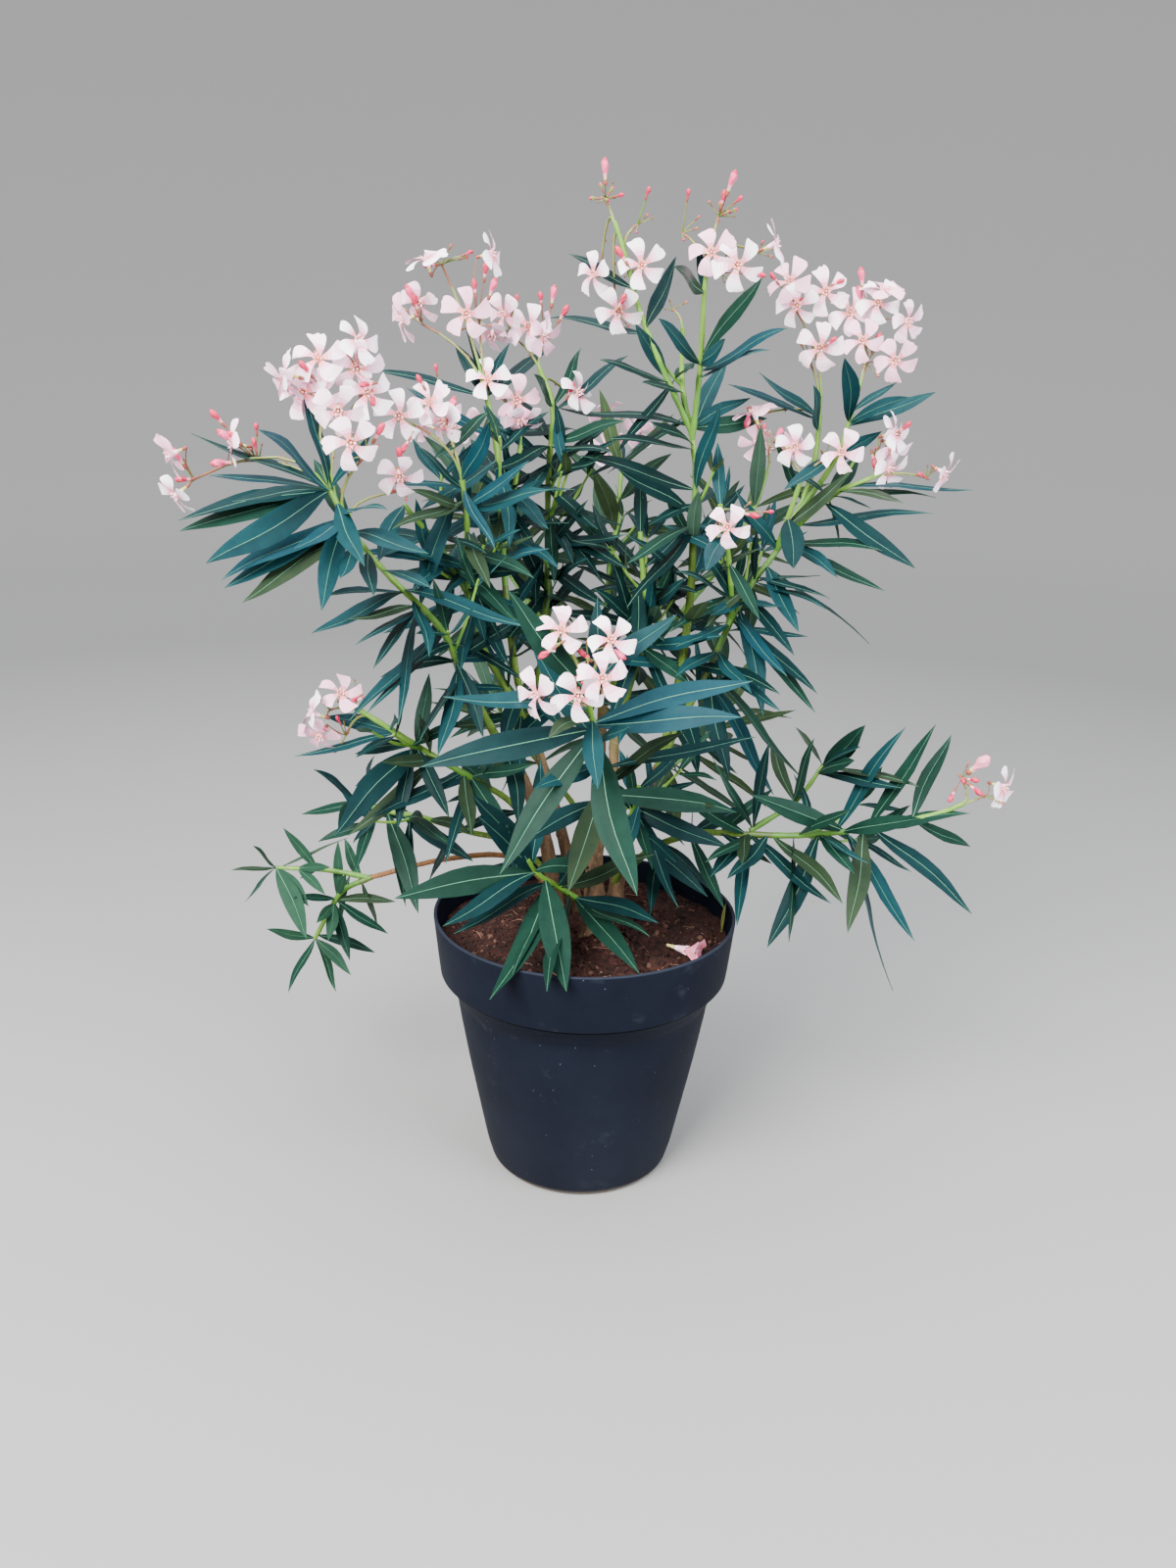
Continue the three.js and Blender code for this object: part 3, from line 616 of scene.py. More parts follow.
old_bark = bark_material("old_bark", colour(138, 108, 78), colour(78, 58, 42), 0.8, green_from=0.52)
young_bark = bark_material("young_bark", colour(100, 130, 44), colour(72, 98, 34), 0.35)
twig_bark = bark_material("twig_bark", colour(150, 104, 62), colour(102, 68, 42), 0.5)


def limb_rings(name, foot, tip, route, relief):
    """A tapering limb with its root flare, its ridges, and a swelling with scars at each node."""
    path = Path(route)
    distances = np.arange(0, path.length, limb_step * mm)
    distances = np.append(distances, path.length)
    centres = path.at(distances)
    if name.startswith("stem"):
        buried = centres[:, 2] < (soil_height - 12) * mm
        distances, centres = distances[~buried], centres[~buried]
    side, rise = path.across(distances)
    angle = circle(limb_sides)
    flare = root_flare * foot * np.exp(np.minimum(0, (soil_height - centres[:, 2] / mm) / 14))
    width = foot + (tip - foot) * distances / path.length + flare
    rings = []
    for i, (distance, centre) in enumerate(zip(distances / mm, centres)):
        node = math.exp(-((distance % node_spacing - node_spacing / 2) / 2.2) ** 2)
        scar_turn = math.floor(distance / node_spacing) * math.pi / 3
        swell = relief * node * (0.5 + 0.5 * np.cos(3 * (angle - scar_turn)))
        ridges = [
            noise.noise(Vector((math.cos(a) * 2.6, math.sin(a) * 2.6, distance * 0.02 + foot)))
            + 0.5 * noise.noise(Vector((math.cos(a) * 6, math.sin(a) * 6, distance * 0.07 + tip)))
            for a in angle
        ]
        flutes = 0.12 * flare[i] * np.cos(5 * angle + foot)
        radius = (width[i] + swell + flutes + relief * np.array(ridges)) * mm
        ring = np.cos(angle)[:, None] * side[i] - np.sin(angle)[:, None] * rise[i]
        rings.append(centre + radius[:, None] * ring)
    return rings


for name, (foot, tip, route) in {**stems, **boughs}.items():
    relief = stem_relief if name.startswith("stem") else bough_relief
    bark = old_bark if name.startswith("stem") else twig_bark if name.startswith("twig") else young_bark
    limb_skin = Skin()
    limb_skin.loft(limb_rings(name, foot, tip, route, relief))
    limb_skin.build(f"bark_{name}", [bark], "wood", [name])

# Masses. Each grows from the tip of a bough or stem by the plant's own rule: a shoot with whorls
# of three leaves, shoots that fork from it, and heads of flowers and buds at their ends.
leaf_length = 150
leaf_slenderness = 5.6
whorl_spacing = 50
whorl_turn = 60
shoot_radius = 4
stalk_radius = 1.3
pedicel_length = 31
fork_step = 4.5
light_side = 180
twig_places = 0.05, 0.52
twig_reach = 45, 85
twig_leaf_sizes = 0.45, 0.7
twig_radius = 1.9
full_turn = 6.3
up = np.array([0.0, 0.0, 1.0])

# From the oldest whorl to the youngest: how far the leaves stand off their shoot, in degrees, their
# share of the leaf's length, and how much they sag
leaf_spread = 82, 40
leaf_shares = 1.02, 0.72
leaf_sag = 0.2, 0.08
leaf_droop = 0.26
spread_wander = 14
turn_wander = 24

# A shoot: its route, the turn of its first whorl, where leaves start and stop, their size, its
# heads as x, y, z, flowers, buds and turn, and its forks. A mass also says how many side twigs it
# has, and where whorls start and stop on the bough below it, with the size of their leaves.
masses = {
    "crown_far_left": {
        "route": [
            [-150, -66, 675], [-172, -92, 735], [-220, -122, 793], [-250, -142, 835], [-278, -150, 888],
        ],
        "twigs": 2, "below": ("bough_far_left", 40, 90, 0.8),
        "turn": 20, "leaves": (24, 300), "size": 1.04,
        "heads": [
            (-445, -150, 902, 3, 3, 60), (-374, -150, 924, 2, 3, 20), (-295, -150, 1000, 3, 2, 80),
            (-249, -124, 1010, 4, 1, 10), (-243, -190, 938, 1, 0, 0), (-210, -120, 900, 1, 1, 0),
        ],
    },
    "crown_left": {
        "route": [[-136, -10, 705], [-148, -20, 769], [-146, -40, 850], [-150, -50, 894]],
        "twigs": 4, "below": ("bough_middle_left", 40, 80, 0.75),
        "turn": 45, "leaves": (20, 200), "size": 0.92,
        "heads": [(-208, -90, 963, 1, 1, 0), (-179, -60, 965, 2, 3, 30)],
        "forks": [{
            "route": [[-146, -16, 757], [-176, -40, 816], [-211, -80, 868]],
            "turn": 0, "leaves": (40, 125), "size": 0.8, "heads": [],
        }],
    },
    "crown_high_left": {
        "route": [[-104, 24, 735], [-110, 20, 820], [-114, 20, 901], [-120, 20, 945], [-128, 20, 983]],
        "twigs": 4, "below": ("bough_middle_high", 60, 160, 0.75),
        "turn": 10, "leaves": (20, 250), "size": 0.95,
        "heads": [(-218, 10, 1072, 2, 2, 0), (-195, 30, 1139, 2, 0, 0), (-146, 6, 1074, 2, 3, 90)],
        "forks": [{
            "route": [[-110, 22, 800], [-98, 38, 870], [-90, 40, 930]],
            "turn": 50, "leaves": (30, 110), "size": 0.85, "heads": [(-100, 30, 975, 3, 1, 70)],
        }],
    },
    "crown_high_middle": {
        "route": [[-58, 78, 745], [-58, 80, 830], [-58, 80, 898], [-54, 80, 973], [-70, 80, 1015]],
        "twigs": 5, "below": ("bough_middle_back", 50, 160, 0.8),
        "turn": 0, "leaves": (24, 240), "size": 0.95,
        "heads": [(-69, 80, 1058, 2, 2, 40), (-119, 70, 1067, 2, 1, 90), (-30, 90, 996, 1, 1, 0)],
    },
    "crown_top": {
        "route": [[121, 60, 835], [120, 60, 900], [112, 60, 956]],
        "twigs": 2, "below": ("bough_tall", 90, 290, 0.9),
        "turn": 15, "leaves": (16, 112), "size": 1.05, "heads": [],
        "forks": [
            {
                "route": [[112, 60, 950], [72, 60, 1026], [43, 60, 1090], [30, 60, 1134], [14, 60, 1176]],
                "turn": 40, "leaves": (18, 150), "size": 0.82,
                "heads": [
                    (-4, 60, 1120, 1, 0, 0), (42, 52, 1128, 2, 1, 30), (20, 50, 1080, 1, 1, 0),
                    (1, 60, 1216, 0, 5, 0), (46, 60, 1190, 0, 2, 90),
                ],
            },
            {
                "route": [[114, 60, 940], [118, 44, 1020], [117, 24, 1100], [120, 20, 1150]],
                "turn": 0, "leaves": (18, 150), "size": 0.8,
                "heads": [
                    (124, 8, 1138, 1, 0, 0), (150, 12, 1128, 1, 1, 0), (195, 38, 1156, 1, 0, 0),
                    (140, 20, 1196, 0, 5, 0), (94, 30, 1180, 0, 2, 0),
                ],
            },
            {
                "route": [[113, 60, 945], [100, 68, 1000], [97, 68, 1065]],
                "turn": 30, "leaves": (18, 90), "size": 0.75, "heads": [(90, 64, 1100, 0, 2, 0)],
            },
        ],
    },
    "crown_right": {
        "route": [[141, 60, 640], [188, 70, 750], [237, 90, 822], [268, 108, 900], [273, 110, 970]],
        "twigs": 5, "below": ("bough_right", 60, 110, 0.75),
        "turn": 30, "leaves": (18, 300), "size": 0.95,
        "heads": [(244, 100, 1112, 3, 1, 60), (268, 92, 1050, 1, 1, 0), (188, 62, 975, 1, 3, 0)],
        "forks": [
            {
                "route": [[250, 98, 850], [292, 92, 918], [310, 90, 985]],
                "turn": 0, "leaves": (34, 140), "size": 0.85,
                "heads": [(338, 92, 1090, 3, 1, 20), (342, 88, 1044, 3, 1, 80)],
            },
            {
                "route": [[238, 88, 826], [290, 62, 880], [330, 60, 900]],
                "turn": 20, "leaves": (24, 110), "size": 0.85,
                "heads": [(355, 60, 936, 3, 1, 40), (424, 60, 909, 1, 1, 0)],
            },
            {
                "route": [[228, 84, 810], [238, 60, 860], [246, 52, 895]],
                "turn": 50, "leaves": (30, 80), "size": 0.7,
                "heads": [(232, 50, 938, 1, 1, 0), (293, 50, 932, 1, 0, 0)],
            },
            {
                "route": [[176, 66, 724], [164, 34, 800], [148, 22, 868]],
                "turn": 10, "leaves": (30, 150), "size": 0.8,
                "heads": [(157, 6, 841, 1, 0, 0), (186, 14, 866, 0, 3, 0)],
            },
        ],
    },
    "crown_low_right": {
        "route": [[196, -24, 470], [262, -44, 478], [341, -60, 495], [420, -62, 516], [452, -62, 530]],
        "twigs": 2, "below": ("bough_low_right", 90, 170, 0.75),
        "turn": 30, "leaves": (20, 252), "size": 0.95,
        "heads": [(471, -60, 570, 0, 3, 0), (505, -62, 545, 2, 2, 0)],
        "forks": [{
            "route": [[204, -22, 474], [262, 0, 508], [294, 10, 552]],
            "turn": 0, "leaves": (24, 112), "size": 0.9, "heads": [],
        }],
    },
    "crown_front": {
        "route": [[16, -105, 535], [14, -150, 600], [4, -205, 655], [-4, -228, 698]],
        "turn": 76, "leaves": (14, 176), "size": 1.08,
        "heads": [
            (-30, -250, 764, 1, 0, 0), (18, -250, 758, 1, 1, 0), (8, -272, 722, 1, 0, 0),
            (-16, -270, 702, 1, 1, 0), (-56, -250, 698, 1, 1, 0), (-4, -244, 744, 0, 3, 0),
        ],
    },
    "crown_front_right": {
        "route": [[54, -18, 470], [56, -28, 500], [62, -40, 535]],
        "twigs": 2,
        "turn": 0, "leaves": (12, 62), "size": 0.85, "heads": [],
    },
    "crown_low_left": {
        "route": [[-140, -38, 538], [-182, -58, 570], [-233, -70, 607], [-272, -78, 634]],
        "twigs": 2, "below": ("bough_low_left", 70, 120, 0.7),
        "turn": 66, "leaves": (16, 150), "size": 0.9,
        "heads": [(-287, -80, 656, 1, 1, 0), (-326, -80, 634, 1, 1, 0), (-306, -86, 602, 1, 0, 0)],
    },
    "crown_bottom_left": {
        "route": [[-150, 0, 455], [-210, 0, 473], [-253, 0, 480], [-290, 0, 492]],
        "twigs": 1,
        "turn": 20, "leaves": (16, 140), "size": 0.75, "heads": [],
    },
    "spray_ground_left": {
        "route": [[-290, 80, 356], [-330, 80, 335], [-352, 80, 300], [-372, 80, 262]],
        "turn": 30, "leaves": (16, 120), "size": 0.55, "heads": [], "fresh": True,
        "forks": [{
            "route": [[-296, 80, 355], [-350, 80, 364], [-420, 80, 366]],
            "turn": 0, "leaves": (24, 112), "size": 0.55, "heads": [],
        }],
    },
    "spray_rim_front": {
        "route": [[0, -30, 372], [-30, -52, 402], [-58, -84, 434], [-70, -98, 458]],
        "turn": 15, "leaves": (24, 118), "size": 1.15, "heads": [],
    },
    "crown_centre": {
        "route": [[62, 60, 684], [66, 60, 730], [60, 58, 790], [56, 56, 830]],
        "twigs": 5, "below": ("bough_centre", 30, 100, 0.75),
        "turn": 44, "leaves": (14, 145), "size": 0.85, "heads": [],
    },
    "crown_back_left": {
        "route": [[-88, 240, 706], [-140, 272, 780], [-176, 292, 850], [-196, 300, 900]],
        "twigs": 3, "below": ("bough_back_left", 50, 120, 0.8),
        "turn": 0, "leaves": (20, 190), "size": 1, "heads": [(-214, 312, 945, 2, 2, 0)],
    },
    "crown_back_high": {
        "route": [[22, 262, 745], [32, 300, 820], [36, 322, 890]],
        "twigs": 3, "below": ("bough_back_high", 60, 150, 0.8),
        "turn": 30, "leaves": (18, 160), "size": 1, "heads": [(30, 352, 940, 3, 2, 0)],
    },
    "crown_back_right": {
        "route": [[124, 234, 700], [182, 264, 770], [222, 286, 840], [238, 296, 890]],
        "twigs": 3, "below": ("bough_back_right", 60, 130, 0.8),
        "turn": 15, "leaves": (20, 180), "size": 1, "heads": [(252, 316, 930, 2, 2, 0)],
    },
    "crown_back_low_left": {
        "route": [[-60, 200, 475], [-108, 254, 515], [-150, 304, 560]],
        "twigs": 2,
        "turn": 45, "leaves": (16, 150), "size": 1, "heads": [],
    },
    "crown_back_low_right": {
        "route": [[104, 198, 475], [160, 244, 510], [206, 286, 552]],
        "twigs": 2,
        "turn": 5, "leaves": (16, 150), "size": 1, "heads": [],
    },
}


def seeded(seed):
    """Draws between 0 and 1, the same in every run."""
    state = (seed * 7919) % 2147483647
    while True:
        state = (state * 48271) % 2147483647
        yield state / 2147483647


def unit(vector):
    return vector / np.linalg.norm(vector)


def mix(a, b, share):
    return a + (b - a) * share


def aside(side, rise, turn):
    """The way at a turn about a path, from two directions square to it."""
    return side * math.cos(turn) + rise * math.sin(turn)


def tilted(axis, side, rise, tilt, turn):
    """The way that leans off an axis by a tilt, at a turn about it."""
    return axis * math.cos(tilt) + aside(side, rise, turn) * math.sin(tilt)


def whorls(shoot, path, draw):
    """Whorls of three leaves along a shoot, each turned from the last, older leaves lower and wider."""
    first, last = shoot["leaves"]
    count = max(2, math.floor((last - first) / whorl_spacing + 0.5) + 1)
    grown = []
    for whorl in range(count):
        youth = whorl / (count - 1)
        distance = mix(first, min(last, path.length / mm - 2), youth) * mm
        heading = path.heading(distance)
        side, rise = path.across(distance)
        for part in range(3):
            turned = shoot["turn"] + whorl * whorl_turn + part * 120
            turn = math.radians(turned + turn_wander * (next(draw) - 0.5))
            spread = math.radians(mix(*leaf_spread, youth) + spread_wander * (next(draw) - 0.5))
            length = leaf_length * shoot["size"] * mix(*leaf_shares, youth) * (0.9 + 0.2 * next(draw)) * mm
            direction = tilted(heading, side, rise, spread, turn)
            direction[2] -= leaf_droop * (1 - youth)
            direction = unit(direction)
            sag = length * mix(*leaf_sag, youth) * (1 - abs(direction[2]))
            grown.append(blade_from(path.at(distance), direction, heading, length, sag, youth))
    return grown


def blade_from(root, direction, heading, length, sag, youth):
    """What one leaf needs: its root, its way and length, the side that faces the light, and its age."""
    sunward = np.array([0, -0.9 if root[1] < light_side * mm else 0.9, 0])
    return {
        "root": root, "direction": direction, "normal": 0.7 * heading + up + sunward,
        "length": length, "sag": sag, "youth": youth, "width": 1.0,
    }


# Leaves. Long pointed blades, leathery and dark blue-green above with a pale thin midrib, duller
# and paler below, the blue partly a painted sky reflection; leaves deep inside the plant take darker
# tints, partly painted shade. Each is folded a little along its rib and arches under its own weight.
leaf_stations = np.array([0, 0.03, 0.075, 0.15, 0.25, 0.36, 0.48, 0.6, 0.72, 0.83, 0.92, 0.97, 1.0])
petiole_width = 1.5
blade_depth = 0.28
rib_width = 0.42
small_leaf = 50
shade_depth = 105
low_growth = 590
leaf_sway = 0.09
leaf_ripple = 0.05
leaf_twist = 0.7
leaf_tints = [
    ("leaf_deep", colour(14, 43, 44), colour(9, 32, 35)),
    ("leaf_teal", colour(19, 57, 61), colour(13, 43, 48)),
    # Bluish sky reflection painted into the colour; the teal tint above carries some of it too.
    ("leaf_painted_sky_sheen", colour(19, 57, 65), colour(13, 45, 54)),
    ("leaf_green", colour(21, 50, 39), colour(13, 38, 31)),
    ("leaf_olive", colour(40, 54, 35), colour(27, 43, 31)),
    # Painted shade, for leaves deep inside the plant.
    ("leaf_painted_shade", colour(9, 34, 33), colour(5, 24, 25)),
    ("leaf_young", colour(80, 120, 48), colour(60, 96, 38)),
    ("leaf_fresh", colour(36, 68, 50), colour(27, 53, 40)),
    ("leaf_withered", colour(104, 104, 52), colour(74, 76, 40)),
]
under_tints = [
    ("underside_grey", colour(60, 86, 69), colour(45, 70, 57)),
    ("underside_olive", colour(68, 87, 55), colour(52, 70, 45)),
]
leaf_materials = []
for name, light, dark in leaf_tints + under_tints:
    glossy = name.startswith("leaf")
    material, tree, shader = finish(name, 0.46 if glossy else 0.6, Specular_IOR_Level=0.06)
    tone = use(tree, mottle, Light=light, Dark=dark, Scale=55.0, Softness=0.3)
    tree.links.new(tone.outputs["Colour"], shader.inputs["Base Color"])
    place = wire(tree, "Attribute", attribute_name="place")
    veins = wire(tree, "TexWave", {"Vector": place.outputs["Vector"], "Scale": 210.0, "Distortion": 1.2})
    roughen(tree, shader, veins.outputs["Fac"], 0.25, 0.0004)
    leaf_materials.append(material)
for name, tone in [("midrib_pale", colour(92, 140, 112)), ("midrib_young", colour(144, 170, 84))]:
    shaded = tuple(0.8 * c for c in tone)
    leaf_materials.append(mottled(name, 0.45, tone, shaded, 70.0, 0.3, Specular_IOR_Level=0.15))
leaf_numbers = {material.name: i for i, material in enumerate(leaf_materials)}


def leaf_rings(leaves, random):
    """The rings of a batch of leaves, and for each point its place along and across its blade."""
    count = len(leaves)
    root, direction, normal, length, sag, wide = (
        np.array([leaf[key] for leaf in leaves])
        for key in ("root", "direction", "normal", "length", "sag", "width")
    )
    length, sag, wide = length[:, None], sag[:, None], wide[:, None]
    s = leaf_stations[None, :]
    half = wide * length / leaf_slenderness / 2 * (0.98 + 0.14 * random.random((count, 1)))
    width = half * np.sin(math.pi * s**0.93) ** 0.92
    width = np.maximum(width, petiole_width * mm * np.clip(1 - s / 0.12, 0, 1))
    width = np.maximum(width, 0.22 * mm)
    centre = root[:, None] + direction[:, None] * (s * length)[..., None] - up * (sag * s**2)[..., None]
    heading = direction[:, None] * length[..., None] - 2 * up * (sag * s)[..., None]
    heading /= np.linalg.norm(heading, axis=2, keepdims=True)
    side = np.cross(heading, normal[:, None])
    side /= np.linalg.norm(side, axis=2, keepdims=True)
    face = np.cross(side, heading)
    sway = (random.random((count, 1)) - 0.5) * leaf_sway * length * np.sin(math.pi * s) ** 2
    ripple = (random.random((count, 1)) - 0.5) * leaf_ripple * length * np.sin(2 * math.pi * s)
    centre = centre + side * sway[..., None] + face * ripple[..., None]
    twist = (random.random((count, 1)) - 0.5) * leaf_twist * (s - 0.3)
    cos, sin = np.cos(twist)[..., None], np.sin(twist)[..., None]
    side, face = side * cos + face * sin, face * cos - side * sin
    rib = rib_width * mm * mix(1.0, 0.35, s) * length / (leaf_length * mm)
    rib_share = np.minimum(rib / width, 0.5)
    zero = 0 * rib_share
    x = np.stack([
        zero - 1, zero - 0.55, -rib_share, zero, rib_share, zero + 0.55, zero + 1,
        zero + 0.55, rib_share, zero, -rib_share, zero - 0.55,
    ], -1)
    level = np.array([0, 1, 0.6, 1.4, 0.6, 1, 0, -1, -1, -1, -1, -1]) * (blade_depth * mm)
    keel = np.zeros(12)
    keel[9] = 1
    fold = 0.1 + 0.2 * random.random((count, 1, 1))
    curl = 0.05 + 0.16 * random.random((count, 1, 1))
    wave = 0.035 * np.sin(s * 19 + random.random((count, 1)) * 6)
    width = width[..., None]
    z = (fold * np.abs(x) - curl * x**2) * width
    z = z + wave[..., None] * width * x**2 + level - keel * (rib * 0.8)[..., None]
    across = x * width
    points = centre[:, :, None] + side[:, :, None] * across[..., None] + face[:, :, None] * z[..., None]
    along = (s * length)[..., None] + np.abs(across) * 0.35
    return points, np.stack([along, across, 0 * across], -1)


def leaf_finish(leaves, random):
    """Material numbers for a batch of leaves: the blade above, its rib, and the side below."""
    numbers = []
    for leaf in leaves:
        middle = leaf["root"] + leaf["direction"] * leaf["length"] / 2
        # Painted shade: leaves near the middle of the plant, and those of its oldest whorls, take darker
        # tints; for the old ones this is partly their real darker green.
        in_painted_shade = math.hypot(middle[0], middle[1] - 0.06) < shade_depth * mm or leaf["youth"] < 0.3
        names = ["leaf_deep", "leaf_teal", "leaf_painted_sky_sheen", "leaf_green", "leaf_olive"]
        shares = [0.2, 0.6, 0.78, 0.93]
        rib = "midrib_pale"
        if leaf.get("fresh"):
            names, shares = ["leaf_fresh", "leaf_green", "leaf_olive"], [0.55, 0.8]
        elif leaf["length"] < small_leaf * mm:
            names, shares = ["leaf_green", "leaf_olive", "leaf_young"], [0.6, 0.92]
            rib = "midrib_young"
        elif in_painted_shade:
            names, shares = ["leaf_painted_shade", "leaf_deep", "leaf_green", "leaf_teal"], [0.4, 0.7, 0.88]
        elif leaf["root"][2] < low_growth * mm:
            names, shares = ["leaf_deep", "leaf_green", "leaf_teal", "leaf_olive"], [0.32, 0.68, 0.84]
        top = names[int(np.searchsorted(shares, random.random()))]
        below = "underside_grey" if random.random() < 0.6 else "underside_olive"
        ring = [top, top, rib, rib, top, top, below, below, rib, rib, below, below]
        numbers.append([[leaf_numbers[name] for name in ring]] * (len(leaf_stations) - 1))
    return np.array(numbers)


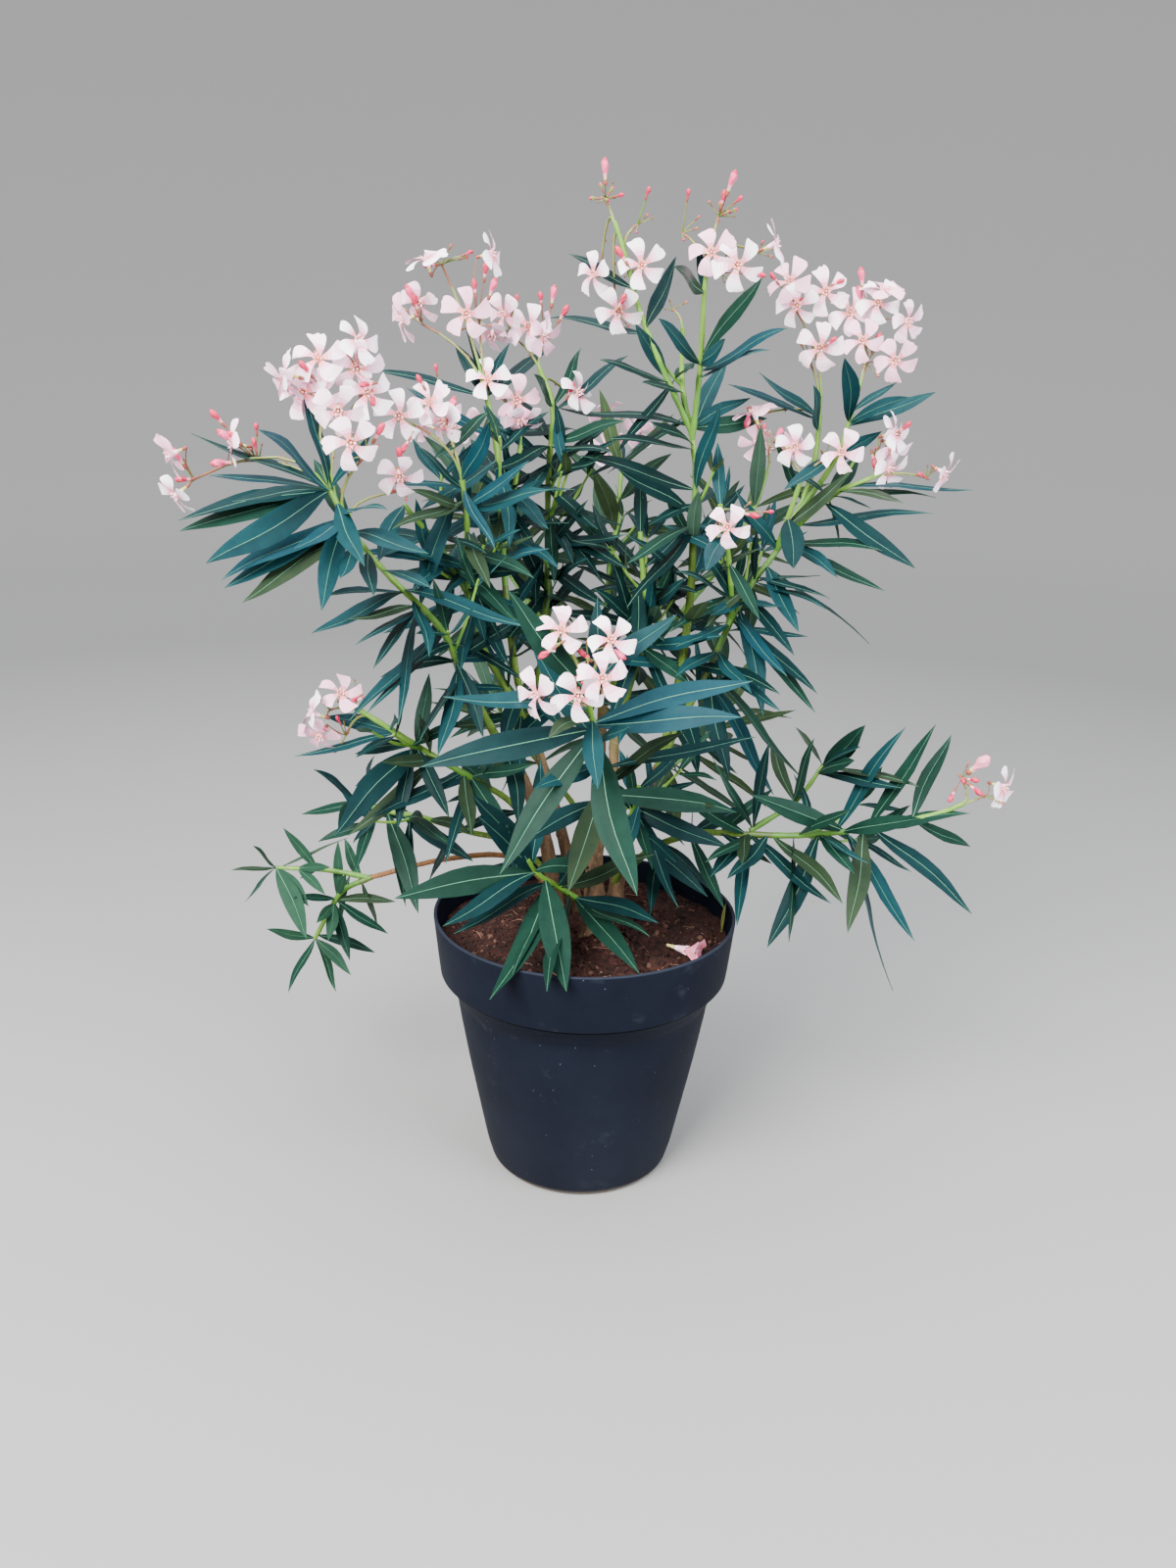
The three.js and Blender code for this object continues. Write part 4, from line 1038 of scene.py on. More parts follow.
# The leaves that the picture shows most clearly of each mass, in its pixels: root, tip, and how
# broad the blade looks
seen_leaves = {
    "crown_far_left": [
        (330, 503, 210, 575, 30), (298, 498, 182, 531, 14), (302, 502, 183, 542, 18),
        (334, 537, 226, 592, 18), (336, 541, 229, 600, 18), (345, 553, 247, 615, 22),
        (338, 536, 328, 623, 24), (340, 512, 372, 578, 24), (365, 542, 437, 565, 16),
        (326, 499, 263, 438, 12), (285, 472, 195, 442, 10), (322, 480, 312, 376, 12),
        (352, 563, 347, 590, 14), (372, 568, 381, 608, 18), (304, 506, 236, 512, 8),
        (318, 492, 213, 485, 6), (404, 612, 318, 646, 12), (410, 605, 333, 608, 6),
        (420, 628, 354, 632, 8), (418, 632, 363, 658, 8), (412, 634, 381, 682, 10),
        (406, 640, 406, 740, 10), (430, 655, 357, 735, 12), (438, 660, 374, 728, 6),
        (418, 616, 438, 670, 14), (408, 606, 540, 640, 14), (462, 682, 447, 771, 18),
        (465, 690, 428, 757, 8), (350, 520, 395, 520, 8), (345, 495, 380, 440, 8),
        (360, 530, 300, 560, 12), (395, 580, 440, 600, 10),
    ],
    "crown_left": [
        (448, 515, 400, 540, 12), (404, 500, 386, 573, 18), (455, 562, 421, 603, 16),
        (488, 474, 500, 430, 16), (470, 500, 505, 560, 12), (472, 628, 470, 684, 16),
        (476, 520, 560, 500, 14), (474, 520, 540, 470, 12), (470, 500, 425, 455, 8),
        (478, 560, 545, 590, 14), (478, 580, 415, 560, 12), (474, 500, 392, 492, 6),
        (530, 603, 443, 615, 12), (415, 603, 528, 635, 14), (476, 540, 500, 600, 16),
        (478, 610, 420, 640, 12), (480, 590, 560, 560, 10), (478, 620, 520, 680, 14),
        (476, 520, 418, 500, 10), (480, 600, 540, 640, 12),
    ],
    "crown_high_left": [
        (478, 392, 378, 378, 8), (492, 402, 464, 350, 14), (496, 380, 475, 335, 8),
        (505, 400, 558, 357, 10), (500, 420, 440, 470, 12), (500, 430, 560, 470, 12),
        (500, 470, 430, 520, 12), (502, 470, 520, 560, 18), (505, 440, 590, 440, 10),
        (500, 400, 520, 350, 10), (505, 500, 560, 540, 14), (500, 520, 430, 560, 12),
        (505, 460, 560, 420, 8), (508, 540, 570, 580, 12), (505, 560, 450, 610, 12),
        (505, 520, 550, 490, 8),
    ],
    "crown_high_middle": [
        (565, 415, 593, 355, 10), (566, 418, 641, 363, 8), (564, 415, 545, 382, 8),
        (565, 450, 637, 430, 12), (564, 455, 625, 462, 8), (562, 455, 500, 480, 12),
        (560, 480, 520, 510, 12), (560, 500, 610, 540, 14), (545, 610, 446, 616, 12),
        (548, 612, 515, 505, 18), (560, 560, 600, 510, 10), (558, 540, 640, 580, 14),
        (560, 520, 500, 560, 12), (558, 580, 620, 620, 14), (556, 590, 600, 570, 10),
        (560, 490, 610, 470, 8), (556, 600, 520, 650, 12), (558, 560, 640, 545, 10),
    ],
    "crown_top": [
        (665, 340, 555, 325, 8), (680, 387, 648, 330, 14), (645, 295, 580, 259, 10),
        (668, 330, 690, 262, 14), (682, 390, 612, 367, 6), (703, 400, 655, 390, 6),
        (716, 380, 803, 335, 10), (720, 385, 785, 357, 6), (716, 365, 778, 283, 12),
        (712, 300, 688, 272, 14), (712, 300, 712, 250, 10), (714, 372, 672, 325, 12),
        (716, 372, 740, 346, 12), (703, 435, 565, 415, 8), (704, 437, 783, 427, 16),
        (704, 437, 766, 406, 12), (706, 500, 735, 412, 14), (706, 455, 663, 430, 6),
        (706, 458, 622, 448, 6), (706, 500, 590, 465, 14), (706, 525, 630, 478, 14),
        (706, 560, 640, 575, 10), (706, 560, 760, 545, 8), (704, 600, 640, 620, 12),
    ],
    "crown_right": [
        (866, 430, 862, 365, 16), (868, 420, 915, 390, 8), (866, 430, 927, 405, 12),
        (866, 435, 955, 400, 14), (838, 440, 830, 393, 10), (838, 430, 775, 380, 8),
        (838, 432, 743, 392, 6), (812, 535, 952, 524, 10), (840, 512, 934, 580, 18),
        (860, 490, 993, 500, 6), (858, 500, 955, 508, 6), (858, 505, 922, 513, 8),
        (815, 560, 900, 562, 9), (812, 565, 903, 603, 10), (812, 562, 855, 590, 12),
        (805, 530, 810, 580, 24), (745, 545, 720, 583, 24), (765, 590, 773, 542, 8),
        (757, 622, 779, 731, 18), (753, 575, 775, 632, 14), (787, 580, 815, 645, 16),
        (772, 638, 834, 708, 12), (776, 648, 832, 727, 12), (770, 640, 803, 690, 12),
        (742, 668, 767, 708, 14), (738, 690, 744, 796, 20), (748, 705, 790, 812, 14),
        (780, 700, 797, 726, 10), (783, 715, 823, 798, 10), (797, 605, 847, 611, 8),
        (797, 610, 843, 622, 6), (757, 615, 690, 583, 6), (757, 617, 725, 628, 12),
        (797, 587, 887, 657, 4), (800, 560, 740, 520, 10), (750, 640, 690, 660, 10),
        (757, 622, 715, 560, 12), (745, 670, 690, 690, 12), (775, 600, 720, 640, 12),
        (790, 560, 750, 500, 12), (800, 540, 870, 480, 14), (820, 510, 790, 450, 10),
        (845, 470, 900, 440, 14), (850, 460, 800, 500, 12),
    ],
    "crown_low_right": [
        (785, 852, 742, 897, 16), (835, 853, 783, 967, 20), (883, 846, 865, 952, 22),
        (888, 845, 992, 933, 18), (864, 852, 933, 960, 12), (864, 853, 911, 1011, 6),
        (788, 853, 860, 922, 14), (838, 855, 872, 892, 14), (750, 856, 752, 945, 14),
        (808, 857, 805, 962, 6), (760, 858, 848, 922, 12), (885, 840, 955, 739, 14),
        (850, 836, 924, 742, 14), (862, 845, 766, 811, 20), (757, 842, 683, 803, 14),
        (886, 842, 990, 830, 12), (838, 768, 812, 742, 5), (840, 767, 883, 740, 20),
        (838, 764, 878, 762, 6), (832, 787, 872, 776, 12), (830, 787, 920, 804, 10),
        (838, 771, 938, 803, 6), (803, 815, 831, 753, 10), (752, 828, 785, 758, 10),
        (752, 828, 727, 773, 8), (770, 850, 720, 880, 12), (860, 845, 940, 835, 16),
        (812, 850, 868, 826, 8), (700, 850, 725, 895, 14), (715, 855, 757, 882, 12),
    ],
    "crown_front": [
        (590, 748, 428, 783, 30), (592, 750, 510, 892, 30), (597, 735, 610, 805, 22),
        (608, 760, 650, 914, 32), (606, 740, 757, 732, 26), (604, 738, 768, 695, 22),
        (585, 728, 452, 711, 17), (584, 706, 518, 602, 26), (600, 706, 691, 627, 20),
        (584, 733, 559, 754, 14), (612, 757, 642, 742, 10), (580, 772, 604, 802, 10),
        (604, 818, 532, 861, 20), (606, 805, 580, 910, 26), (630, 785, 771, 752, 12),
        (632, 802, 699, 747, 16), (632, 800, 596, 770, 10), (600, 780, 545, 805, 18),
    ],
    "crown_front_right": [
        (642, 823, 743, 865, 19), (648, 822, 730, 822, 14), (636, 822, 692, 926, 15),
        (650, 852, 722, 915, 18), (640, 830, 600, 860, 14), (650, 850, 690, 880, 12),
        (640, 826, 640, 770, 10),
    ],
    "crown_low_left": [
        (402, 753, 300, 772, 8), (402, 753, 332, 731, 18), (425, 766, 342, 852, 26),
        (442, 784, 355, 853, 15), (470, 790, 380, 834, 14), (450, 784, 390, 778, 12),
        (472, 791, 481, 853, 16), (500, 812, 455, 882, 12), (440, 770, 428, 728, 8),
        (395, 745, 407, 735, 10), (490, 790, 520, 850, 18), (500, 800, 545, 780, 12),
    ],
    "crown_bottom_left": [
        (365, 818, 320, 785, 8), (372, 815, 382, 771, 6), (362, 818, 345, 845, 18),
        (384, 832, 362, 890, 12), (393, 833, 427, 932, 21), (395, 836, 414, 925, 10),
        (408, 828, 483, 879, 16), (415, 832, 460, 862, 12), (440, 830, 480, 850, 12),
    ],
    "spray_ground_left": [
        (341, 913, 345, 858, 9), (341, 915, 299, 916, 8), (341, 917, 404, 920, 10),
        (345, 920, 396, 953, 9), (344, 922, 357, 980, 12), (340, 920, 335, 960, 12),
        (338, 920, 323, 942, 10), (342, 910, 353, 892, 8), (278, 886, 236, 888, 5),
        (278, 884, 258, 863, 4), (276, 889, 250, 920, 3), (280, 890, 313, 958, 20),
        (283, 892, 315, 925, 12), (285, 886, 355, 855, 3), (303, 889, 337, 885, 9),
        (304, 890, 332, 913, 10), (320, 960, 272, 948, 10), (320, 965, 294, 1013, 8),
        (325, 965, 358, 995, 12), (325, 968, 343, 1012, 8), (330, 957, 383, 972, 10),
    ],
    "spray_rim_front": [
        (545, 892, 402, 917, 30), (545, 893, 452, 945, 18), (560, 905, 463, 953, 15),
        (562, 908, 500, 1020, 23), (555, 900, 578, 1012, 28), (558, 915, 523, 995, 12),
        (578, 916, 558, 1012, 13), (583, 920, 652, 993, 21), (588, 912, 672, 942, 18),
        (590, 920, 663, 956, 13), (548, 886, 602, 886, 16), (546, 888, 482, 811, 22),
        (546, 890, 488, 833, 20), (575, 900, 668, 872, 16), (570, 903, 600, 850, 14),
    ],
    "crown_centre": [
        (657, 655, 622, 568, 14), (660, 652, 670, 575, 12), (650, 660, 738, 649, 14),
        (640, 640, 560, 622, 12), (660, 655, 690, 560, 12), (655, 660, 600, 690, 12),
        (655, 668, 705, 700, 14), (650, 640, 605, 600, 12), (655, 620, 700, 590, 12),
        (650, 680, 620, 740, 14), (655, 690, 700, 740, 12),
    ],
}


# Leaves from the picture: the greatest length, the greatest breadth against the rule's, how far a
# leaf may pass the CAD's box, and the bows that are tried in turn
longest_leaf = 195
widest_leaf = 1.25
outreach = 16
leaf_bows = 0.08, 0.18, 0.28

# How far a leaf's tip may come towards the viewer, as shares of its reach, the likeliest first
depth_choices = [0.7, 0.85, 0.55, 1.0, 0.4, 0.2, 0.0, -0.25, -0.5, -0.75, -1.0]


def seen_leaf(paths, size, root_u, root_v, tip_u, tip_v, broad):
    """A leaf from the place on a shoot that the picture shows, to the pixel where its tip is seen."""
    nearest = None
    for path in paths:
        distances = np.linspace(0.004, path.length, 60)
        off = np.linalg.norm(pixels_of(path.at(distances)) - (root_u, root_v), axis=1)
        if nearest is None or off.min() < nearest[0]:
            nearest = off.min(), path, distances[off.argmin()]
    _, path, distance = nearest
    root, heading = path.at(distance), path.heading(distance)
    line = sight_line(tip_u, tip_v)
    beside = eye + line * ((root - eye) @ line)
    miss = np.linalg.norm(beside - root)
    long = broad * leaf_slenderness / lens_pixels * ((root - eye) @ forward)
    long = min(max(leaf_length * size * mm, long), longest_leaf * mm)
    spare = None
    for limit, bow, nearer in itertools.product((long, longest_leaf * mm), leaf_bows, depth_choices):
        chord = beside - line * nearer * math.sqrt(max(0, limit**2 - miss**2)) - root
        length = np.linalg.norm(chord)
        sag = bow * length * (1 - abs(unit(chord)[2]))
        way = chord + up * sag
        leaf = blade_from(root, unit(way), heading, np.linalg.norm(way), sag, 0.5)
        middle = root + chord / 2
        full = lens_pixels * length / leaf_slenderness / ((middle - eye) @ forward)
        facing = unit(eye - middle - unit(chord) * ((eye - middle) @ unit(chord)))
        sideways = np.cross(unit(chord), facing)
        sideways = sideways if sideways[2] > 0 else -sideways
        share = min(1.0, broad / full)
        leaf["normal"] = facing * share + sideways * math.sqrt(1 - share**2)
        leaf["width"] = min(widest_leaf, max(1.0, broad / full))
        if not stands_clear(leaf):
            continue
        if not hides_blossom(leaf):
            return leaf
        spare = spare or leaf
    return spare


# Limbs as balls along their routes, which leaves are kept clear of
limb_gap = 0.002
rim_gap = 2.5
wall_gap = 3
soil_gap = 6
limb_balls = []
for foot, tip, route in [*stems.values(), *boughs.values()]:
    path = Path(route)
    distances = np.arange(0.02, path.length - 0.012, 0.008)
    widths = mix(foot, tip, distances / path.length) * mm
    limb_balls.append(np.column_stack([path.at(distances), widths]))
limb_balls = np.concatenate(limb_balls)


def leaf_line(leaf, shares):
    """Points along the middle of a leaf, at shares of its length."""
    shares = np.asarray(shares)[:, None]
    return leaf["root"] + leaf["direction"] * shares * leaf["length"] - up * leaf["sag"] * shares**2


def stands_clear(leaf):
    """Whether a leaf clears the limbs, the pot's wall and the soil, within the plant's reach."""
    line = leaf_line(leaf, np.linspace(0.15, 1, 18))
    off = np.linalg.norm(line[:, None] - limb_balls[None, :, :3], axis=2) - limb_balls[None, :, 3]
    reach = np.hypot(line[:, 0], line[:, 1])
    low = line[:, 2] < (pot_height + rim_gap) * mm
    in_wall = low & (reach > (rim_radius - 10) * mm) & (reach < (rim_radius + wall_gap) * mm)
    in_soil = (line[:, 2] < (soil_height + soil_gap) * mm) & (reach < rim_radius * mm)
    reached = np.all((line > cad_box[0] - outreach * mm) & (line < cad_box[1] + outreach * mm))
    return off.min() > limb_gap and reached and not in_wall.any() and not in_soil.any()


# Open flowers and large buds that the picture shows, which no leaf may pass before
blossoms = []
blossom_clear = 23
filler_clear = 0.05


def hides_blossom(leaf, behind=0.004):
    """Whether a leaf passes before a flower or large bud of the picture, or not far behind it."""
    line = leaf_line(leaf, np.linspace(0.1, 1, 14))
    off = np.linalg.norm(pixels_of(line)[:, None] - pixels_of(blossoms)[None], axis=2)
    leaf_depth = ((line - eye) @ forward)[:, None]
    blossom_depth = ((np.array(blossoms) - eye) @ forward)[None]
    return bool(((leaf_depth < blossom_depth + behind) & (off < blossom_clear)).any())


crowding_reach = 0.04
crowding_likeness = 0.8


def crowds(leaf, others):
    """Whether a leaf would hide another that the picture shows from nearly the same place."""
    ends = pixels_of(leaf_line(leaf, [0, 1]))
    for other in others:
        if np.linalg.norm(leaf["root"] - other["root"]) > crowding_reach:
            continue
        other_ends = pixels_of(leaf_line(other, [0, 1]))
        a, b = ends[1] - ends[0], other_ends[1] - other_ends[0]
        if a @ b > crowding_likeness * np.linalg.norm(a) * np.linalg.norm(b):
            return True
    return False


# Shoots and flower stalks. This year's growth, lime green and smooth, with a swelling under each
# whorl. The stalks are thinner and turn orange-brown, with small bracts where they part.
shoot_tones = [
    ("shoot_olive", colour(80, 104, 32), colour(58, 78, 24)),
    ("shoot_green", colour(86, 134, 36), colour(64, 108, 28)),
    ("shoot_lime", colour(108, 150, 46), colour(84, 126, 36)),
    ("stalk_green", colour(122, 138, 64), colour(108, 102, 54)),
    ("stalk_brown", colour(146, 96, 58), colour(110, 64, 42)),
]
wood_materials = [
    mottled(name, 0.5, light, dark, 120.0, 0.25, (1, 1, 0.3), bump=(0.2, 0.0006))
    for name, light, dark in shoot_tones
]
shoot_taper = 0.72
node_swell = 0.55
shoot_skin = Skin()
stalk_skin = Skin()


def grow_shoot(path, width, shoot, last_year):
    """A shoot's rings, swollen at each whorl, its tone from olive at the foot to lime at the tip."""
    distances = np.linspace(0, path.length, max(8, int(path.length / 0.006)))
    first = shoot["leaves"][0] * mm
    beat = np.clip((distances - first) / (whorl_spacing * mm / 2), 0, None)
    node = np.exp(-(((beat + 0.5) % 1 - 0.5) * 6) ** 2) * (distances > first * 0.5)
    radii = (mix(width, width * shoot_taper, distances / path.length) + node_swell * node) * mm
    rings = spread_tube(path.at(distances), radii, 9)
    share = distances[:-1] / path.length + (0.3 if last_year else 0.5)
    tones = np.clip(np.floor(share * 2.4), 0, 2).astype(int)
    shoot_skin.loft(rings, tones[None, :, None])


def bent(start, end, lean, count=7):
    """Points on a bow from start to end, leaving start along lean."""
    reach = np.linalg.norm(end - start)
    middle = start + lean * reach * 0.5
    t = np.linspace(0, 1, count)[:, None]
    return (1 - t) ** 2 * start + 2 * t * (1 - t) * middle + t**2 * end


# Blossom. Five pale pink petals, set like a pinwheel, spread from a funnel with a flushed throat
# and a yellow-green tube in a small red-brown calyx. Buds are twisted crimson spindles.
petal_tones = [
    ("petal_white", colour(255, 248, 253), colour(254, 241, 249)),
    ("petal_pale", colour(254, 230, 242), colour(252, 214, 232)),
    ("petal_pink", colour(246, 196, 216), colour(240, 176, 202)),
    ("petal_flush", colour(238, 150, 172), colour(230, 128, 152)),
    ("throat_orange", colour(238, 176, 130), colour(228, 140, 110)),
    ("tube_yellow", colour(214, 208, 124), colour(190, 182, 96)),
    ("calyx_red", colour(150, 78, 60), colour(112, 56, 44)),
    ("bud_crimson", colour(202, 34, 80), colour(172, 20, 60)),
    ("bud_rose", colour(236, 98, 142), colour(220, 66, 112)),
    ("stamen_cream", colour(250, 222, 178), colour(242, 200, 150)),
    ("bud_green", colour(128, 140, 62), colour(104, 110, 48)),
]
petal_materials = [
    mottled(name, 0.55, light, dark, 160.0, 0.3, bump=(0.12, 0.0005)) for name, light, dark in petal_tones
]
petal_number = {material.name: i for i, material in enumerate(petal_materials)}
petal_skin = Skin()
tube_skin = Skin()
bud_skin = Skin()

petal_shares = np.array([0, 0.12, 0.28, 0.46, 0.63, 0.78, 0.9, 0.97, 1.0])
petal_widths = np.array([1.9, 2.7, 4.2, 6.3, 8.1, 9.2, 9.2, 8.0, 6.0])
flower_radius = 27
mouth_radius = 3.6
petal_depth = 0.16
tube_profile = [
    (0.8, -9), (1.6, -6), (2.8, -3), (4.1, -0.4), (4.5, -0.9), (3.9, -4), (3.1, -8), (2.2, -12),
    (1.6, -16), (1.3, -21),
]
tube_tones = ["throat_orange", "petal_flush", "petal_pink"]
tube_tones = [tone for tone in tube_tones for _ in range(2)] + ["petal_pale", "tube_yellow", "tube_yellow"]
calyx_profile = [(1.0, -24), (1.7, -23), (2.1, -21), (2.0, -19), (1.75, -17.6)]

# The flowers that the picture shows, in its pixels: middle, and how far each turns to the
# picture's right and up, instead of towards its viewer
seen_flowers = {
    "crown_far_left": [
        (171, 465, -0.85, -0.37), (178, 507, -0.71, -0.6), (235, 453, -0.92, 0.12),
        (288, 380, -0.89, 0.26), (290, 393, -0.71, -0.6), (324, 364, -0.13, 0.39), (367, 346, 0.52, 0.39),
        (365, 377, 0.26, -0.39), (325, 404, -0.13, -0.26), (376, 400, 0.39, 0.13), (345, 420, 0, -0.39),
        (358, 452, 0, -0.13), (408, 487, 0.13, -0.52), (308, 400, -0.39, 0.13),
    ],
    "crown_left": [
        (407, 424, 0, 0), (437, 410, -0.26, 0.26), (450, 431, -0.65, -0.26),
    ],
    "crown_high_left": [
        (408, 327, -0.89, -0.26), (427, 310, -0.52, -0.52), (434, 262, -0.26, 0.78), (476, 320, 0.13, 0),
        (504, 258, 0.9, 0.23), (498, 386, 0, 0.39), (528, 408, 0.13, -0.13), (532, 431, 0.13, -0.91),
    ],
    "crown_high_middle": [
        (539, 333, -0.13, 0.13), (512, 321, -0.65, -0.26), (502, 344, -0.26, -0.89),
        (557, 342, 0.78, -0.26), (592, 400, 0.65, 0.26),
    ],
    "crown_top": [
        (604, 280, -0.65, 0), (655, 270, 0, 0.13), (631, 318, 0, -0.39), (726, 257, -0.13, 0.13),
        (753, 270, 0.13, 0), (794, 248, 0.86, 0.35),
    ],
    "crown_right": [
        (804, 286, -0.39, 0.39), (813, 312, -0.26, -0.26), (843, 297, 0, 0.13), (836, 355, 0, 0),
        (880, 347, 0, 0.13), (896, 308, 0.13, 0.13), (928, 328, 0.65, -0.13), (914, 368, 0.13, -0.26),
        (902, 293, 0.13, 0.78), (915, 440, 0.78, 0.26), (913, 457, 0.65, -0.39), (909, 480, 0.65, -0.39),
        (966, 484, 0.81, -0.46), (811, 456, 0, -0.13), (859, 461, 0, 0), (769, 418, -0.26, 0.89),
        (742, 538, -0.13, 0), (868, 318, 0.13, 0.13),
    ],
    "crown_low_right": [
        (1026, 804, 0.76, -0.24),
    ],
    "crown_front": [
        (573, 642, 0, 0.26), (624, 652, 0.13, 0.13), (615, 692, 0.13, 0), (590, 711, 0, -0.39),
        (545, 710, -0.65, -0.26),
    ],
    "crown_low_left": [
        (348, 706, 0.13, 0.52), (316, 727, -0.89, 0.26), (326, 753, -0.39, -0.65),
    ],
}

# The buds that the picture shows, in its pixels: tip, and age from 0, small and hard, to 1, about
# to open. The one beyond 1 is opening.
seen_buds = {
    "crown_far_left": [
        (214, 418, 0.75), (221, 438, 0.9), (258, 446, 0.45), (261, 431, 0.3), (174, 456, 0.9),
        (214, 473, 1.0), (178, 489, 0.7), (350, 358, 0.35), (305, 368, 0.7), (366, 393, 0.6),
        (381, 415, 0.5), (392, 431, 0.8), (406, 456, 0.7), (232, 440, 0.6),
    ],
    "crown_left": [
        (425, 382, 0.5), (444, 371, 0.3), (464, 404, 1.0), (409, 462, 0.6),
    ],
    "crown_high_left": [
        (414, 290, 0.9), (431, 271, 0.6), (483, 256, 0.3), (483, 284, 0.6), (496, 267, 0.7),
        (506, 283, 0.9), (420, 298, 0.8), (478, 262, 0.2),
    ],
    "crown_high_middle": [
        (566, 290, 0.9), (580, 311, 0.8), (517, 307, 0.9), (528, 300, 0.4), (551, 297, 0.5),
        (586, 390, 0.7),
    ],
    "crown_top": [
        (617, 160, 1.0), (601, 202, 0.25), (612, 186, 0.2), (626, 190, 0.15), (637, 198, 0.3),
        (663, 190, 0.35), (628, 251, 0.85), (639, 299, 0.7), (751, 173, 1.0), (740, 193, 0.6),
        (703, 192, 0.3), (753, 213, 0.25), (758, 200, 0.3), (735, 205, 0.15), (782, 281, 0.5),
        (622, 205, 0.1), (745, 215, 0.1),
    ],
    "crown_right": [
        (878, 272, 0.95), (875, 291, 0.9), (854, 344, 0.5), (899, 339, 0.8), (761, 437, 0.9),
        (790, 522, 0.3), (776, 527, 0.8), (894, 479, 0.8), (936, 482, 0.4), (786, 278, 0.5),
        (862, 285, 0.5), (930, 430, 0.7),
    ],
    "crown_low_right": [
        (1010, 772, 1.3), (1000, 797, 0.6), (968, 819, 0.6), (1003, 812, 0.8), (985, 800, 0.3),
    ],
    "crown_front": [
        (590, 663, 0.55), (549, 672, 0.7), (639, 673, 1.0), (557, 694, 0.5), (600, 668, 0.2),
        (565, 660, 0.2),
    ],
    "crown_low_left": [
        (358, 716, 0.4), (320, 741, 0.9), (343, 730, 0.3),
    ],
}


def frame_about(axis):
    """Two directions that make a right-handed set with an axis: across, up and axis."""
    away = up if abs(axis[2]) < 0.9 else np.array([1.0, 0, 0])
    across = unit(np.cross(away, axis))
    return across, np.cross(axis, across)


def ring_tones(names):
    """Material numbers for a lofted piece, one for each step from ring to ring."""
    return np.array([petal_number[name] for name in names])[None, :, None]


def grow_flower(centre, axis, spin, random, settle=None, cup=0.0, scale=1.0):
    """One open flower round an axis that points the way it faces. Returns the end for its stalk."""
    across, over = frame_about(axis)
    size = scale * (0.92 + 0.14 * random.random()) * mm
    blush = random.random()
    s = petal_shares[:, None]
    t = np.array([1, 0.55, 0, -0.55, -1, -0.55, 0, 0.55])[None]
    top = np.array([0, 1, 1, 1, 0, -1, -1, -1])[None]
    rings = []
    for petal in range(5):
        angle = spin + petal * 2 * math.pi / 5 + 0.08 * (random.random() - 0.5)
        outward = aside(across, over, angle)
        lateral = aside(over, -across, angle)
        reach = mouth_radius + s * (flower_radius - mouth_radius) * (0.88 + 0.17 * random.random())
        notch = 1.3 * random.random() * np.cos(5.5 * t + 6 * random.random())
        reach = reach - 1.2 * np.abs(t) ** 3 * s**3 + (notch - 2.2 * t) * s**4
        drift = 5.4 * s**1.6 + 0.6 * np.sin(s * 5 + petal)
        wide = petal_widths[:, None] * t * (1 + 0.16 * t * s) * (0.86 + 0.26 * random.random())
        reflex = 0.5 + 6.5 * random.random()
        rise = -2.4 * (1 - s) ** 3 - reflex * s**2.2 + 0.26 * wide * (1 - 0.35 * s) + 0.8 * t**2 * s
        rise = rise + cup * reach * 0.8
        reach = reach * (1 - 0.55 * cup)
        ruffle = (0.9 * random.random()) * np.sin(s * 6 + random.random() * 6) * s * t
        rise = rise + ruffle + top * petal_depth
        points = (
            centre
            + reach[..., None] * outward * size
            + (wide + drift)[..., None] * lateral * size
            + rise[..., None] * axis * size
        )
        if settle is not None:
            points[..., 2] = np.maximum(points[..., 2], settle + 0.0004 + 0.0002 * (top + 1))
        rings.append(points)
    body = ["petal_white", "petal_pale", "petal_pink"][int(blush > 0.45) + int(blush > 0.78)]
    body = "petal_flush" if cup else body
    above = ["throat_orange", "petal_flush", "petal_pink", "petal_pink" if blush > 0.6 else "petal_pale"]
    above += [body] * 4
    below = ["petal_flush"] * 8 if cup else ["petal_flush"] + ["petal_pink"] * 5 + ["petal_pale"] * 2
    numbers = np.array([[petal_number[a]] * 4 + [petal_number[b]] * 4 for a, b in zip(above, below)])
    petal_skin.loft(np.array(rings), numbers[None], under=4)

    angle = circle(10)[:, None]
    spokes = np.cos(angle) * across - np.sin(angle) * over
    tube = [centre + axis * z * size + spokes * r * size for r, z in tube_profile]
    tube_skin.loft(tube, ring_tones(tube_tones))
    if not cup:
        spokes = np.cos(angle) * across + np.sin(angle) * over
        calyx = [centre + axis * z * size + spokes * r * size for r, z in calyx_profile]
        tube_skin.loft(calyx, petal_number["calyx_red"])
    for petal in range(5):
        outward = aside(across, over, spin + (petal + 0.5) * 2 * math.pi / 5)
        foot = centre + (outward * 3.4 - axis * 1.6) * size
        end = centre + (outward * 5.4 + axis * 2.6) * size
        scale_rings = spread_tube([foot, mix(foot, end, 0.5), end], np.array([1.2, 0.8, 0.15]) * size, 4)
        tube_skin.loft(scale_rings, petal_number["petal_pink" if petal % 2 else "petal_pale"])
    heart = [centre - axis * 5 * size, centre - axis * 1.5 * size, centre + axis * 1.2 * size]
    tube_skin.loft(spread_tube(heart, np.array([1.0, 1.5, 0.2]) * size, 6), petal_number["stamen_cream"])
    return centre - axis * 23.5 * size


bud_shares = np.array([0, 0.1, 0.24, 0.4, 0.52, 0.64, 0.76, 0.87, 0.95, 1.0])
bud_widths = np.array([1.0, 1.25, 1.45, 1.8, 2.5, 3.2, 3.35, 2.6, 1.5, 0.25])


